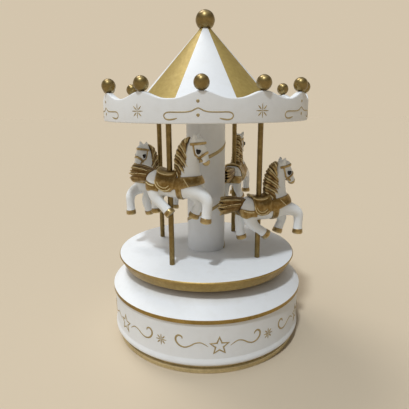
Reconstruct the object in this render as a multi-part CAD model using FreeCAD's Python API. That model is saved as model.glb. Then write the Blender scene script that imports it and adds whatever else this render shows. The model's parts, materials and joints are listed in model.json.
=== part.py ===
import FreeCAD, Part
import math
import os

# A carousel music box in millimetres. +Z is up, the origin is the centre of the base on the table,
# and the front faces -Y. The drum base holds a spring movement. Its winding arbor is also the
# spindle of the carousel above, which is turned by hand to wind the spring and then turns by itself.

Vec = FreeCAD.Vector
ORIGIN = Vec(0, 0, 0)
UP = Vec(0, 0, 1)
AHEAD = Vec(1, 0, 0)
SIDEWAYS = Vec(0, 1, 0)

# Clearances
seat_gap = 0.03          # glued, screwed and pressed seats, on the radius
run_gap = 0.05           # bearings, on the radius
end_gap = 0.15           # along a shaft, between a turning piece and a fixed one

# Foot ring and bottom plate
foot_radius = 53.0
foot_wall = 3.0
foot_height = 5.0
foot_lip_height = 2.5
foot_groove = 1.2
foot_edge_break = 0.3
plate_recess = 1.2
plate_screw_count = 4
plate_screw_inset = 1.8  # from the drum's cavity into its wall

# Base drum
drum_edge_radius = 55.0  # gold edge under the shoulder
drum_edge_low = 28.6
drum_edge_high = 30.8
drum_wall_radius = 54.2
drum_edge_step = 0.5
drum_lip_radius = 55.0
drum_lip_z = 7.0
drum_lip_top = 9.2
drum_lip_under = 1.2
drum_top_radius = 43.6
drum_top_z = 40.0
cavity_radius = 45.0
cavity_corner_z = 29.5
cavity_top_radius = 43.2
cavity_slope_top = 33.2
panel_thickness = 4.4

# Spindle, bush and hub
arbor_radius = 2.0
arbor_pivot_radius = 1.2
arbor_top = 50.0
bush_wall = 2.0
bush_flange_radius = 6.5
bush_flange_height = 0.5
washer_radius = 8.0
washer_height = 0.7
hub_flange_radius = 9.0
hub_flange_height = 1.7
hub_boss_radius = 4.0
hub_boss_above_platform = 6.0
hub_screw_circle = 6.6
hub_screw_count = 3

# Platform, column and poles
platform_low = 42.2
platform_top = 48.3
platform_radius = 51.0
platform_low_radius = 48.0
platform_edge_round = 0.7
column_radius = 10.8
column_tenon_radius = 6.0
column_tenon_height = 3.0
pole_radius = 1.4
pole_circle = 33.4
pole_first_angle = 57.0
pole_socket = 3.5
pole_top_socket = 2.6

# Canopy
deck_low = 122.4
deck_height = 3.6
rim_radius = 54.5
rim_wall = 3.0
rim_valley_rise = 10.6   # above the underside of the deck
rim_peak_rise = 13.6
rim_peak_cut = 0.3       # the peaks are cut flat this far below their points
rim_count = 12
rim_turn = -92.0         # direction of the peak nearest the front
ball_radius = 3.4
ball_sink = 0.1
ball_peg_radius = 0.8
ball_peg_length = 3.0
roof_radius = 42.0
roof_point_above_deck = 46.2
finial_radius = 5.05
finial_sink = 0.9        # how far the ball is flattened where it sits on the roof
finial_peg_radius = 1.5
finial_peg_length = 6.0

# Horses: name, pole number counted from the first angle, heading, height of the saddle, nose-down tilt
horses = [
    ("back_right", 0, 72.0, 93.5, 0.0),
    ("back_left", 1, 232.0, 90.2, 0.0),
    ("front_left", 2, 338.0, 98.6, 5.0),
    ("front_right", 3, 17.0, 83.4, 0.0),
]
leg_depth_share = 1.12   # a leg's depth over its width
horse_bore_reach = 60.0  # longer than a horse is tall

# Movement: levels and bedplate
bedplate_thickness = 2.4
bedplate_back = -19.0
bedplate_front = 40.0
bedplate_right = -26.5
bedplate_left = 22.5
bedplate_radius = 42.0
post_thickness = 1.4
post_half_width = 3.0
post_below_axis = 3.2
movement_screws_at = [(-14.0, -16.0), (-14.0, 16.0), (37.0, -14.0)]

# Movement: gear train
pressure_angle = math.radians(25.0)
crown_teeth = 48
crown_module = 0.6
crown_pinion_teeth = 16
crown_face = 1.4
crown_backlash = 0.28
crown_pinion_backlash = 0.12
crown_disc = 1.65
wheel_teeth = 36
wheel_module = 0.4
wheel_width = 1.2
wheel_pinion_teeth = 12
wheel_backlash = 0.08
worm_wheel_teeth = 30
worm_module = 0.3
worm_wheel_width = 1.2
worm_pitch_radius = 1.5
worm_turns = 6
worm_backlash = 0.12
root_share = 1.25        # depth of a tooth below the pitch line, in modules
tip_share = 0.9          # height of a tooth above the pitch line, in modules
pinion_overhang = 0.2

# Movement: spring barrel, ratchet and click
barrel_pinion_gap = 1.1  # between the barrel and the end of the cylinder's pinion
barrel_wall = 0.8
barrel_height = 13.0
barrel_floor = 1.0
pillar_circle = 18.5
pillar_radius = 1.6
pillar_angles = [90.0, 180.0, 270.0]
ear_half_width = 2.2
ear_thickness = 1.0
spring_strip = 0.4
spring_room = 0.175      # between the spring's last turn and the barrel
spring_inner_radius = 2.8
spring_half_turns = 14
spring_end_gap = 0.6
ratchet_teeth = 12
ratchet_radius = 5.5
ratchet_root = 4.6
ratchet_height = 1.2
click_pivot_radius = 9.3
click_pivot_angle = 48.0
click_pin_radius = 0.8
click_boss = 1.5

# Movement: tune cylinder and comb
cylinder_radius = 6.5
cylinder_length = 14.0
cylinder_arbor_radius = 1.0
cylinder_axis_drop = 9.0  # the cylinder's axis below the bedplate
pin_radius = 0.2
pin_height = 0.8
note_count = 18
pins_per_note = 4
comb_tip_gap = 0.15
comb_length = 17.5
comb_thickness = 1.0
comb_slot = 0.24
comb_root = 7.5
comb_treble_short = 4.5
bracket_thickness = 1.6
bracket_ear = 4.0
flange_thickness = 1.2
shaft_gap = 0.6          # free space between neighbours on the cylinder's line

# Movement: governor
governor_arbor_radius = 0.6
worm_shaft_radius = 1.0
fan_radius = 4.3
fan_hub_radius = 1.6
fan_height = 4.0
fan_blade = 0.4
fan_low_above_foot = 1.4
governor_foot_drop = 11.6
governor_wall = 1.2

# Screws: head radius, head height, shank radius, shank length
plate_screw = (2.2, 1.6, 1.0, 12.0)
hub_screw = (1.2, 0.9, 0.7, 4.2)
movement_screw = (2.0, 1.3, 1.1, 5.6)
barrel_screw = (1.5, 1.0, 0.8, 4.0)
small_screw = (1.1, 0.8, 0.6, 2.8)
comb_screw = (1.7, 1.1, 0.9, 5.0)
recess_share = 0.6       # of a screw head, for the cross recess
recess_width = 0.4

# Worked out from the values above
deck_top = deck_low + deck_height
rim_valley_z = deck_low + rim_valley_rise
rim_peak_z = deck_low + rim_peak_rise
panel_low = drum_top_z - panel_thickness
bedplate_low = panel_low - bedplate_thickness
axis_z = bedplate_low - cylinder_axis_drop
bush_top = drum_top_z + bush_flange_height
washer_top = bush_top + washer_height
hub_low = washer_top + end_gap
hub_flange_top = hub_low + hub_flange_height
crown_radius = crown_module * crown_teeth / 2
crown_pinion_radius = crown_module * crown_pinion_teeth / 2
crown_pitch_z = axis_z + crown_pinion_radius
crown_root_z = crown_pitch_z + root_share * crown_module
crown_tip_z = crown_pitch_z - tip_share * crown_module
crown_rim_radius = crown_radius + crown_face / 2 + pinion_overhang
wheel_radius = wheel_module * wheel_teeth / 2
wheel_pinion_radius = wheel_module * wheel_pinion_teeth / 2
worm_wheel_radius = worm_module * worm_wheel_teeth / 2
worm_lead = math.pi * worm_module
ratchet_top = crown_root_z - end_gap
ratchet_low = ratchet_top - ratchet_height
barrel_top = ratchet_low - 4 * end_gap
barrel_low = barrel_top - barrel_height
pin_circle = cylinder_radius + pin_height
governor_y = wheel_radius + wheel_pinion_radius
worm_y = governor_y + worm_wheel_radius + worm_pitch_radius
pinion_x = crown_radius - crown_face / 2 - pinion_overhang
barrel_radius = pinion_x - barrel_pinion_gap
spring_reach = barrel_radius - barrel_wall - spring_inner_radius - spring_room
spring_pitch = 2 * spring_reach / (spring_half_turns + 1)
post_x = crown_rim_radius + shaft_gap
cylinder_x = post_x + post_thickness + shaft_gap
worm_wheel_x = cylinder_x + cylinder_length + shaft_gap
wheel_x = worm_wheel_x + worm_wheel_width + shaft_gap
bracket_x = wheel_x + wheel_width + shaft_gap
worm_x = worm_wheel_x + worm_wheel_width / 2
flange_low = bedplate_low - flange_thickness
governor_foot_z = axis_z - governor_foot_drop
comb_tip_y = -pin_circle - comb_tip_gap
comb_back_y = comb_tip_y - comb_length
comb_low = axis_z - comb_thickness / 2
comb_high = axis_z + comb_thickness / 2
note_pitch = cylinder_length / (note_count + 1)
rim_inner = rim_radius - rim_wall
ball_circle = rim_radius - rim_wall / 2
roof_slope = roof_radius / roof_point_above_deck
roof_point = deck_top + roof_point_above_deck
plate_radius = foot_radius - foot_wall
plate_screw_circle = cavity_radius + plate_screw_inset
finial_flat_radius = math.sqrt(finial_radius ** 2 - (finial_radius - finial_sink) ** 2)
roof_top_radius = finial_flat_radius + 2 * seat_gap
roof_top_z = roof_point - roof_top_radius / roof_slope
finial_z = roof_top_z + finial_radius - finial_sink


# Shapes used by many pieces

def direction(angle):
    """A level unit vector at an angle in degrees from +X."""
    return Vec(math.cos(math.radians(angle)), math.sin(math.radians(angle)), 0)


def disc(radius, low, high, x=0.0, y=0.0):
    """An upright cylinder between two heights."""
    return Part.makeCylinder(radius, high - low, Vec(x, y, low), UP)


def rod(radius, x_start, x_end, y, z):
    """A cylinder that lies along X."""
    return Part.makeCylinder(radius, x_end - x_start, Vec(x_start, y, z), AHEAD)


def block(x_span, y_span, z_span):
    """A box between pairs of limits."""
    corner = Vec(x_span[0], y_span[0], z_span[0])
    return Part.makeBox(x_span[1] - x_span[0], y_span[1] - y_span[0], z_span[1] - z_span[0], corner)


def turned(steps):
    """A solid of revolution about Z. A step is a (radius, height) point, or a pair of points for an arc."""
    edges = []
    here = steps[0]
    for step in steps[1:] + [steps[0]]:
        if isinstance(step[0], tuple):
            middle, there = step
            arc = Part.Arc(Vec(here[0], 0, here[1]), Vec(middle[0], 0, middle[1]), Vec(there[0], 0, there[1]))
            edges.append(arc.toShape())
        else:
            there = step
            edges.append(Part.LineSegment(Vec(here[0], 0, here[1]), Vec(there[0], 0, there[1])).toShape())
        here = there
    return Part.Face(Part.Wire(edges)).revolve(ORIGIN, UP, 360)


def prism(points, low, high):
    """A flat outline of (x, y) points, raised between two heights."""
    corners = [Vec(x, y, low) for x, y in points]
    return Part.Face(Part.makePolygon(corners + [corners[0]])).extrude(Vec(0, 0, high - low))


def across(shape, x, y, z):
    """Lays a shape made about Z along X, with its foot at the given point."""
    laid = shape.copy()
    laid.rotate(ORIGIN, SIDEWAYS, 90)
    laid.translate(Vec(x, y, z))
    return laid


def cross_recess(x, y, face_z, screw):
    """The cutter of the cross in the underside of a screw head."""
    reach = screw[0] * recess_share
    depth = screw[1] * recess_share
    half = recess_width / 2
    one = block((x - reach, x + reach), (y - half, y + half), (face_z, face_z + depth))
    return one.fuse(block((x - half, x + half), (y - reach, y + reach), (face_z, face_z + depth)))


def pan_screw(x, y, seat_z, screw):
    """A screw driven upwards, with its head under the seat."""
    head_radius, head_height, shank_radius, shank_length = screw
    body = disc(head_radius, seat_z - head_height, seat_z, x, y)
    body = body.fuse(disc(shank_radius, seat_z - head_height / 2, seat_z + shank_length, x, y))
    return body.cut(cross_recess(x, y, seat_z - head_height, screw))


def flat_screw(x, y, face_z, screw, gap=0.0):
    """A countersunk screw driven upwards, flush with a face. With a gap it is the cutter of its hole."""
    head_radius, head_height, shank_radius, shank_length = screw
    head = Part.makeCone(head_radius + gap, shank_radius + gap, head_height + gap, Vec(x, y, face_z), UP)
    body = head.fuse(disc(shank_radius + gap, face_z + head_height / 2, face_z + shank_length + gap, x, y))
    if gap:
        return body
    return body.cut(cross_recess(x, y, face_z, screw))


def shank_hole(x, y, seat_z, screw):
    """The cutter of the hole that a screw's shank needs above its seat."""
    return disc(screw[2] + seat_gap, seat_z, seat_z + screw[3] + seat_gap, x, y)


def around(count, circle, first=0.0):
    """Evenly spaced (x, y) points on a circle."""
    points = []
    for number in range(count):
        spot = direction(first + 360.0 * number / count) * circle
        points.append((spot.x, spot.y))
    return points


def cut_all(body, cutters):
    """The body with each cutter taken away."""
    for cutter in cutters:
        body = body.cut(cutter)
    return body


def involute_angle(angle):
    """The involute function of a pressure angle."""
    return math.tan(angle) - angle


def polar(radius, angle):
    """A level point at a radius and an angle in radians."""
    return Vec(radius * math.cos(angle), radius * math.sin(angle), 0)


def spur_gear(teeth, module, width, bore, backlash, phase=0.0):
    """A spur gear about Z from height 0, with a tooth centred on +X when the phase is 0."""
    pitch_radius = module * teeth / 2
    base_radius = pitch_radius * math.cos(pressure_angle)
    root_radius = pitch_radius - root_share * module
    tip_radius = pitch_radius + tip_share * module
    flank_start = max(root_radius, base_radius)
    flank_middle = (flank_start + tip_radius) / 2
    half_tooth = (math.pi * module / 2 - backlash) / 2 / pitch_radius + involute_angle(pressure_angle)
    half_at = {}
    for radius in (flank_start, flank_middle, tip_radius):
        half_at[radius] = half_tooth - involute_angle(math.acos(min(1.0, base_radius / radius)))
    step = 2 * math.pi / teeth
    edges = []
    for number in range(teeth):
        centre = math.radians(phase) + number * step
        low_half = half_at[flank_start]
        foot_in = polar(root_radius, centre - low_half)
        rise = polar(flank_start, centre - low_half)
        tip_in = polar(tip_radius, centre - half_at[tip_radius])
        tip_out = polar(tip_radius, centre + half_at[tip_radius])
        fall = polar(flank_start, centre + low_half)
        foot_out = polar(root_radius, centre + low_half)
        next_foot = polar(root_radius, centre + step - low_half)
        middle_in = polar(flank_middle, centre - half_at[flank_middle])
        middle_out = polar(flank_middle, centre + half_at[flank_middle])
        if flank_start > root_radius:
            edges.append(Part.LineSegment(foot_in, rise).toShape())
        edges.append(Part.Arc(rise, middle_in, tip_in).toShape())
        edges.append(Part.Arc(tip_in, polar(tip_radius, centre), tip_out).toShape())
        edges.append(Part.Arc(tip_out, middle_out, fall).toShape())
        if flank_start > root_radius:
            edges.append(Part.LineSegment(fall, foot_out).toShape())
        edges.append(Part.Arc(foot_out, polar(root_radius, centre + step / 2), next_foot).toShape())
    body = Part.Face(Part.Wire(edges)).extrude(Vec(0, 0, width))
    return body.cut(disc(bore, 0, width))


# Base

def foot_ring():
    """The gold foot: a lip on the table and a groove above it."""
    inner = plate_radius + seat_gap
    return turned([
        (inner, 0),
        (foot_radius - foot_edge_break, 0),
        (foot_radius, foot_edge_break),
        (foot_radius, foot_lip_height - foot_edge_break),
        (foot_radius - foot_edge_break, foot_lip_height),
        (foot_radius - foot_groove, foot_lip_height + foot_edge_break),
        (foot_radius - foot_groove, foot_height),
        (inner, foot_height),
    ])


def plate_screw_spots():
    """Where the bottom plate is screwed to the drum's wall."""
    return around(plate_screw_count, plate_screw_circle, 180.0 / plate_screw_count)


def bottom_plate():
    """The board that closes the drum from below, inside the foot ring."""
    body = disc(plate_radius, plate_recess, foot_height)
    holes = [flat_screw(x, y, plate_recess, plate_screw, seat_gap) for x, y in plate_screw_spots()]
    return cut_all(body, holes)


def bottom_screws():
    """Countersunk screws through the bottom plate."""
    return Part.makeCompound([flat_screw(x, y, plate_recess, plate_screw) for x, y in plate_screw_spots()])


def base_drum():
    """The turned drum: decorated wall with a flared lip, gold edge, sloped shoulder, open below."""
    hole = arbor_radius + run_gap + bush_wall + seat_gap
    lip_middle = (drum_wall_radius + drum_lip_radius) / 2
    body = turned([
        (hole, drum_top_z),
        (drum_top_radius, drum_top_z),
        (drum_edge_radius, drum_edge_high),
        (drum_edge_radius, drum_edge_low),
        (drum_wall_radius, drum_edge_low - drum_edge_step),
        (drum_wall_radius, drum_lip_top),
        ((lip_middle - drum_edge_step / 4, (drum_lip_z + drum_lip_top) / 2), (drum_lip_radius, drum_lip_z)),
        ((drum_lip_radius - drum_lip_under / 4, foot_height + drum_lip_under / 2),
         (drum_lip_radius - drum_lip_under, foot_height)),
        (cavity_radius, foot_height),
        (cavity_radius, cavity_corner_z),
        (cavity_top_radius, cavity_slope_top),
        (cavity_top_radius, panel_low),
        (hole, panel_low),
    ])
    cutters = [shank_hole(x, y, plate_recess, plate_screw) for x, y in plate_screw_spots()]
    cutters += [shank_hole(x, y, bedplate_low, movement_screw) for x, y in movement_screws_at]
    return cut_all(body, cutters)


def spindle_bush():
    """The flanged bush in the drum's top that carries the spindle."""
    outer = arbor_radius + run_gap + bush_wall
    body = disc(outer, panel_low, bush_top).fuse(disc(bush_flange_radius, drum_top_z, bush_top))
    return body.cut(disc(arbor_radius + run_gap, panel_low, bush_top))


def thrust_washer():
    """The slippery washer that the platform's hub runs on."""
    body = disc(washer_radius, bush_top, washer_top)
    return body.cut(disc(arbor_radius + 2 * end_gap, bush_top, washer_top))


# Carousel

def hub_screw_spots():
    """Where the hub is screwed to the platform."""
    return around(hub_screw_count, hub_screw_circle, 90.0)


def pole_spots():
    """The four poles, counted from the first angle."""
    return around(len(horses), pole_circle, pole_first_angle)


def platform_hub():
    """The flanged hub that joins the spindle to the platform and centres the column."""
    body = disc(hub_flange_radius, hub_low, hub_flange_top)
    body = body.fuse(disc(hub_boss_radius, hub_low, platform_top + hub_boss_above_platform))
    body = body.cut(disc(arbor_radius + seat_gap, hub_low, arbor_top + seat_gap))
    return cut_all(body, [flat_screw(x, y, hub_low, hub_screw, seat_gap) for x, y in hub_screw_spots()])


def hub_screws():
    """Countersunk screws from the hub's flange into the platform."""
    return Part.makeCompound([flat_screw(x, y, hub_low, hub_screw) for x, y in hub_screw_spots()])


def platform():
    """The turntable, with its gold edge bevelled inwards and a socket for each pole."""
    side_top = platform_top - platform_edge_round
    corner = platform_edge_round * (1 - math.sqrt(0.5))
    body = turned([
        (hub_boss_radius + seat_gap, platform_low),
        (platform_low_radius, platform_low),
        (platform_radius, side_top),
        ((platform_radius - corner, platform_top - corner),
         (platform_radius - platform_edge_round, platform_top)),
        (hub_boss_radius + seat_gap, platform_top),
    ])
    cutters = [disc(hub_flange_radius + seat_gap, platform_low, hub_flange_top)]
    socket = pole_radius + seat_gap
    cutters += [disc(socket, platform_top - pole_socket, platform_top, x, y) for x, y in pole_spots()]
    cutters += [shank_hole(x, y, hub_low, hub_screw) for x, y in hub_screw_spots()]
    return cut_all(body, cutters)


def centre_column():
    """The white column, socketed on the hub below and tenoned into the deck above."""
    body = disc(column_radius, platform_top, deck_low)
    tenon = disc(column_tenon_radius, deck_low - column_tenon_height, deck_low + column_tenon_height)
    body = body.fuse(tenon)
    socket_top = platform_top + hub_boss_above_platform + seat_gap
    return body.cut(disc(hub_boss_radius + seat_gap, platform_top, socket_top))


def pole(number):
    """One pole from its socket in the platform to its socket in the deck."""
    x, y = pole_spots()[number]
    return disc(pole_radius, platform_top - pole_socket, deck_low + pole_top_socket, x, y)


def canopy_deck():
    """The round board inside the rim, with sockets for the column and the poles."""
    body = disc(rim_inner - seat_gap, deck_low, deck_top)
    cutters = [disc(column_tenon_radius + seat_gap, deck_low, deck_low + column_tenon_height + seat_gap)]
    cutters += [disc(pole_radius + seat_gap, deck_low, deck_low + pole_top_socket + seat_gap, x, y)
                for x, y in pole_spots()]
    return cut_all(body, cutters)


def rim_ball_spots():
    """The balls stand on the peaks of the rim."""
    return around(rim_count, ball_circle, rim_turn)


def canopy_rim():
    """The rim: a ring whose top edge is cut into hollow scallops, with a peg hole in each flat peak."""
    half_chord = rim_radius * math.sin(math.pi / rim_count)
    depth = rim_peak_z + rim_peak_cut - rim_valley_z
    scallop_radius = half_chord ** 2 / (2 * depth) + depth / 2
    body = disc(rim_radius, deck_low, rim_peak_z).cut(disc(rim_inner, deck_low, rim_peak_z))
    cutters = []
    for number in range(rim_count):
        outward = direction(rim_turn + 360.0 * (number + 0.5) / rim_count)
        start = outward * (rim_inner / 2) + UP * (rim_valley_z + scallop_radius)
        cutters.append(Part.makeCylinder(scallop_radius, rim_radius, start, outward))
    hole_low = rim_peak_z - ball_peg_length - seat_gap
    for x, y in rim_ball_spots():
        cutters.append(disc(ball_peg_radius + seat_gap, hole_low, rim_peak_z, x, y))
    return cut_all(body, cutters)


def rim_balls():
    """Twelve beads, each with a peg that goes into the rim."""
    beads = []
    for x, y in rim_ball_spots():
        ball = Part.makeSphere(ball_radius, Vec(x, y, rim_peak_z + ball_radius - ball_sink))
        ball = ball.cut(disc(ball_radius, rim_peak_z - ball_radius, rim_peak_z, x, y))
        peg = disc(ball_peg_radius, rim_peak_z - ball_peg_length, rim_peak_z + ball_radius, x, y)
        beads.append(ball.fuse(peg))
    return Part.makeCompound(beads)


def roof_cone():
    """The turned roof, flat on top where the finial sits."""
    peg = finial_peg_radius + seat_gap
    floor = roof_top_z - finial_peg_length - seat_gap
    return turned([
        (0, deck_top),
        (roof_radius, deck_top),
        (roof_top_radius, roof_top_z),
        (peg, roof_top_z),
        (peg, floor),
        (0, floor),
    ])


def finial_ball():
    """The ball on the roof, with its peg."""
    ball = Part.makeSphere(finial_radius, Vec(0, 0, finial_z))
    ball = ball.cut(disc(finial_radius, roof_top_z - finial_radius, roof_top_z))
    return ball.fuse(disc(finial_peg_radius, roof_top_z - finial_peg_length, finial_z))


# A horse, facing +X, with its pole on the Z axis and the top of its saddle at height 0

def oval(x, z, lean, half_depth, half_width, y=0.0):
    """A section across a limb that runs at an angle in the XZ plane. It is deeper than it is wide."""
    turn = math.radians(lean)
    centre = Vec(x, y, z)
    deep = centre + Vec(-math.sin(turn), 0, math.cos(turn)) * half_depth
    wide = centre + Vec(0, half_width, 0)
    return Part.Wire(Part.Ellipse(deep, wide, centre).toShape())


def limb(sections, y=0.0):
    """A smooth solid through sections of (x, z, lean, half depth, half width)."""
    return Part.makeLoft([oval(*section, y) for section in sections], True, False)


def horse_leg(knots, y):
    """A leg through knots of (x, z, lean, radius), a little deeper than it is wide."""
    return limb([(x, z, lean, radius * leg_depth_share, radius) for x, z, lean, radius in knots], y)


def horse_at_origin():
    """A prancing horse: barrel, saddle band, neck, mane, head, ears, tail and four legs in one casting."""
    barrel = limb([
        (-13.0, -5.4, 0, 2.2, 2.0), (-11.4, -5.9, 0, 4.8, 4.2), (-7.0, -6.8, 0, 6.3, 5.5),
        (0.0, -7.3, 0, 6.7, 5.6), (7.0, -7.0, 0, 6.6, 5.4), (12.5, -5.6, 0, 6.2, 4.6),
        (16.0, -4.6, 0, 4.4, 3.4), (17.6, -4.4, 0, 2.2, 1.8),
    ])
    saddle = limb([(-5.0, -6.9, 0, 6.7, 5.9), (0.0, -7.1, 0, 7.1, 6.1), (5.5, -6.9, 0, 6.9, 5.9)])
    neck = limb([
        (11.0, -5.0, 80, 6.0, 4.0), (10.4, 1.0, 88, 5.5, 3.4), (10.4, 6.5, 88, 4.7, 2.8),
        (11.2, 11.4, 78, 4.1, 2.5), (13.2, 15.2, 55, 3.2, 2.2),
    ])
    mane = limb([
        (4.9, -0.5, 105, 1.4, 1.2), (5.2, 4.0, 92, 1.9, 1.5), (6.0, 8.6, 82, 2.0, 1.6),
        (8.4, 13.2, 64, 1.9, 1.5), (12.0, 16.8, 35, 1.3, 1.1),
    ])
    head = limb([
        (13.4, 17.2, -66, 1.7, 1.5), (14.4, 15.4, -66, 3.3, 2.5), (16.0, 12.0, -67, 3.2, 2.5),
        (17.6, 8.6, -68, 2.3, 2.0), (18.7, 6.0, -68, 2.1, 1.9), (19.1, 5.0, -68, 1.3, 1.1),
    ])
    tail = limb([
        (-10.5, -3.4, 180, 1.9, 1.5), (-13.6, -3.7, 183, 3.2, 2.0), (-17.4, -4.3, 188, 4.3, 2.5),
        (-20.8, -4.7, 188, 4.0, 2.2), (-23.0, -4.8, 186, 2.2, 1.2),
    ])
    right_front = horse_leg([
        (10.0, -7.6, -8, 3.5), (16.0, -8.3, -10, 3.0), (20.9, -9.5, -32, 2.5), (22.9, -12.4, -80, 2.1),
        (22.8, -16.6, -92, 1.7), (22.7, -19.0, -91, 1.8), (22.6, -21.7, -90, 2.3),
    ], -3.3)
    left_front = horse_leg([
        (9.0, -8.5, -30, 3.5), (13.2, -11.4, -36, 2.9), (15.8, -13.8, -62, 2.3), (15.7, -16.2, -100, 1.9),
        (14.6, -18.9, -108, 1.6), (14.0, -20.4, -104, 1.7), (13.6, -22.8, -96, 2.3),
    ], 3.3)
    right_hind = horse_leg([
        (-7.0, -6.5, -95, 4.0), (-7.2, -10.6, -90, 3.6), (-5.8, -14.0, -58, 2.7), (-3.2, -16.2, -40, 2.0),
        (0.4, -18.8, -40, 1.6), (2.2, -20.2, -44, 1.7), (4.2, -22.0, -50, 2.2),
    ], -3.6)
    left_hind = horse_leg([
        (-7.6, -6.5, -98, 4.0), (-8.4, -10.6, -100, 3.5), (-9.3, -14.6, -98, 2.5), (-9.2, -17.6, -86, 1.9),
        (-8.6, -20.4, -80, 1.6), (-8.2, -21.9, -82, 1.7), (-8.0, -24.0, -88, 2.3),
    ], 3.6)
    ears = []
    for side in (-1.4, 1.4):
        ears.append(Part.makeCone(1.1, 0.3, 3.2, Vec(13.0, side, 16.2), Vec(0.1, side / 6, 1)))
    legs = [right_front, left_front, right_hind, left_hind]
    return barrel.multiFuse([saddle, neck, mane, head, tail] + legs + ears)


def horse(model, number, heading, saddle_z, tilt):
    """The horse tilted, drilled for its upright pole, turned to its heading and set on the pole."""
    x, y = pole_spots()[number]
    placed = model.copy()
    placed.rotate(ORIGIN, SIDEWAYS, tilt)
    placed = placed.cut(disc(pole_radius + seat_gap, -horse_bore_reach, horse_bore_reach))
    placed.rotate(ORIGIN, UP, heading)
    placed.translate(Vec(x, y, saddle_z))
    return placed


# Movement, hung under the drum's top with its arbor upwards

def winding_arbor():
    """The arbor that the spring turns. Its long upper end is the carousel's spindle."""
    floor_top = barrel_low + barrel_floor
    body = disc(arbor_radius, floor_top + end_gap, arbor_top)
    return body.fuse(disc(arbor_pivot_radius, barrel_low - end_gap, floor_top + 2 * end_gap))


def ratchet_wheel():
    """Saw teeth on the arbor. Their steep faces push the click when the spring unwinds."""
    points = []
    step = 2 * math.pi / ratchet_teeth
    for number in range(ratchet_teeth):
        for radius in (ratchet_radius, ratchet_root):
            corner = polar(radius, number * step)
            points.append((corner.x, corner.y))
    body = prism(points, ratchet_low, ratchet_top)
    return body.cut(disc(arbor_radius + seat_gap, ratchet_low, ratchet_top))


def click_pivot():
    """The centre of the click's pin."""
    return direction(click_pivot_angle) * click_pivot_radius


def great_wheel():
    """The crown wheel that turns freely on the arbor, with its teeth pointing down."""
    body = disc(crown_rim_radius, crown_root_z, crown_root_z + crown_disc)
    body = body.fuse(disc(2 * arbor_radius, crown_root_z, bedplate_low - end_gap))
    half_pitch = (math.pi * crown_module / 2 - crown_backlash) / 2
    flank = math.tan(pressure_angle)
    half_tip = half_pitch - flank * tip_share * crown_module
    half_root = half_pitch + flank * root_share * crown_module
    inner = crown_radius - crown_face / 2
    overlap = crown_disc / 4
    profile = [Vec(inner, -half_root, crown_root_z), Vec(inner, -half_tip, crown_tip_z),
               Vec(inner, half_tip, crown_tip_z), Vec(inner, half_root, crown_root_z),
               Vec(inner, half_root, crown_root_z + overlap), Vec(inner, -half_root, crown_root_z + overlap)]
    tooth = Part.Face(Part.makePolygon(profile + [profile[0]])).extrude(AHEAD * crown_face)
    teeth = []
    for number in range(crown_teeth):
        copy = tooth.copy()
        copy.rotate(ORIGIN, UP, 360.0 * (number + 0.5) / crown_teeth)
        teeth.append(copy)
    body = body.multiFuse(teeth)
    body = body.cut(disc(arbor_radius + run_gap, crown_root_z, bedplate_low))
    pivot = click_pivot()
    pin_hole = click_pin_radius + seat_gap
    return body.cut(disc(pin_hole, crown_root_z, crown_root_z + crown_disc, pivot.x, pivot.y))


def click_pin():
    """The pin in the great wheel that the click turns on."""
    pivot = click_pivot()
    return disc(click_pin_radius, ratchet_low - end_gap, crown_root_z + crown_disc, pivot.x, pivot.y)


def click():
    """The pawl between the pin and the ratchet wheel."""
    pivot = click_pivot()
    nose_gap = end_gap / ratchet_root
    nose_in = polar(ratchet_root + 1.5 * end_gap, nose_gap)
    nose_out = polar(ratchet_radius + 1.0, nose_gap)
    along = (pivot - nose_in).normalize()
    outward = Vec(along.y, -along.x, 0)
    inner_edge = pivot - outward * (click_boss / 2)
    outer_edge = pivot + outward * click_boss * 0.95
    low = ratchet_low
    high = ratchet_top
    arm = prism([(p.x, p.y) for p in (nose_in, nose_out, outer_edge, inner_edge)], low, high)
    body = arm.fuse(disc(click_boss, low, high, pivot.x, pivot.y))
    return body.cut(disc(click_pin_radius + run_gap, low, high, pivot.x, pivot.y))


def pillar_spots():
    """The pillars that hang the barrel from the bedplate."""
    spots = [direction(angle) * pillar_circle for angle in pillar_angles]
    return [(spot.x, spot.y) for spot in spots]


def spring_barrel():
    """The fixed cup that holds the mainspring, with an ear for each pillar."""
    body = disc(barrel_radius, barrel_low, barrel_top)
    for angle in pillar_angles:
        ear = block((0, pillar_circle + ear_half_width), (-ear_half_width, ear_half_width),
                    (barrel_top - ear_thickness, barrel_top))
        ear.rotate(ORIGIN, UP, angle)
        body = body.fuse(ear)
    body = body.cut(disc(barrel_radius - barrel_wall, barrel_low + barrel_floor, barrel_top))
    body = body.cut(disc(arbor_pivot_radius + run_gap, barrel_low, barrel_top))
    seat = barrel_top - ear_thickness
    return cut_all(body, [shank_hole(x, y, seat, barrel_screw) for x, y in pillar_spots()])


def barrel_pillars():
    """Three pillars between the bedplate and the barrel's ears."""
    seat = barrel_top - ear_thickness
    pillars = []
    for x, y in pillar_spots():
        pillar = disc(pillar_radius, barrel_top, bedplate_low, x, y)
        pillars.append(pillar.cut(shank_hole(x, y, seat, barrel_screw)))
    return Part.makeCompound(pillars)


def barrel_screws():
    """Screws through the barrel's ears into the pillars."""
    seat = barrel_top - ear_thickness
    return Part.makeCompound([pan_screw(x, y, seat, barrel_screw) for x, y in pillar_spots()])


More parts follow.
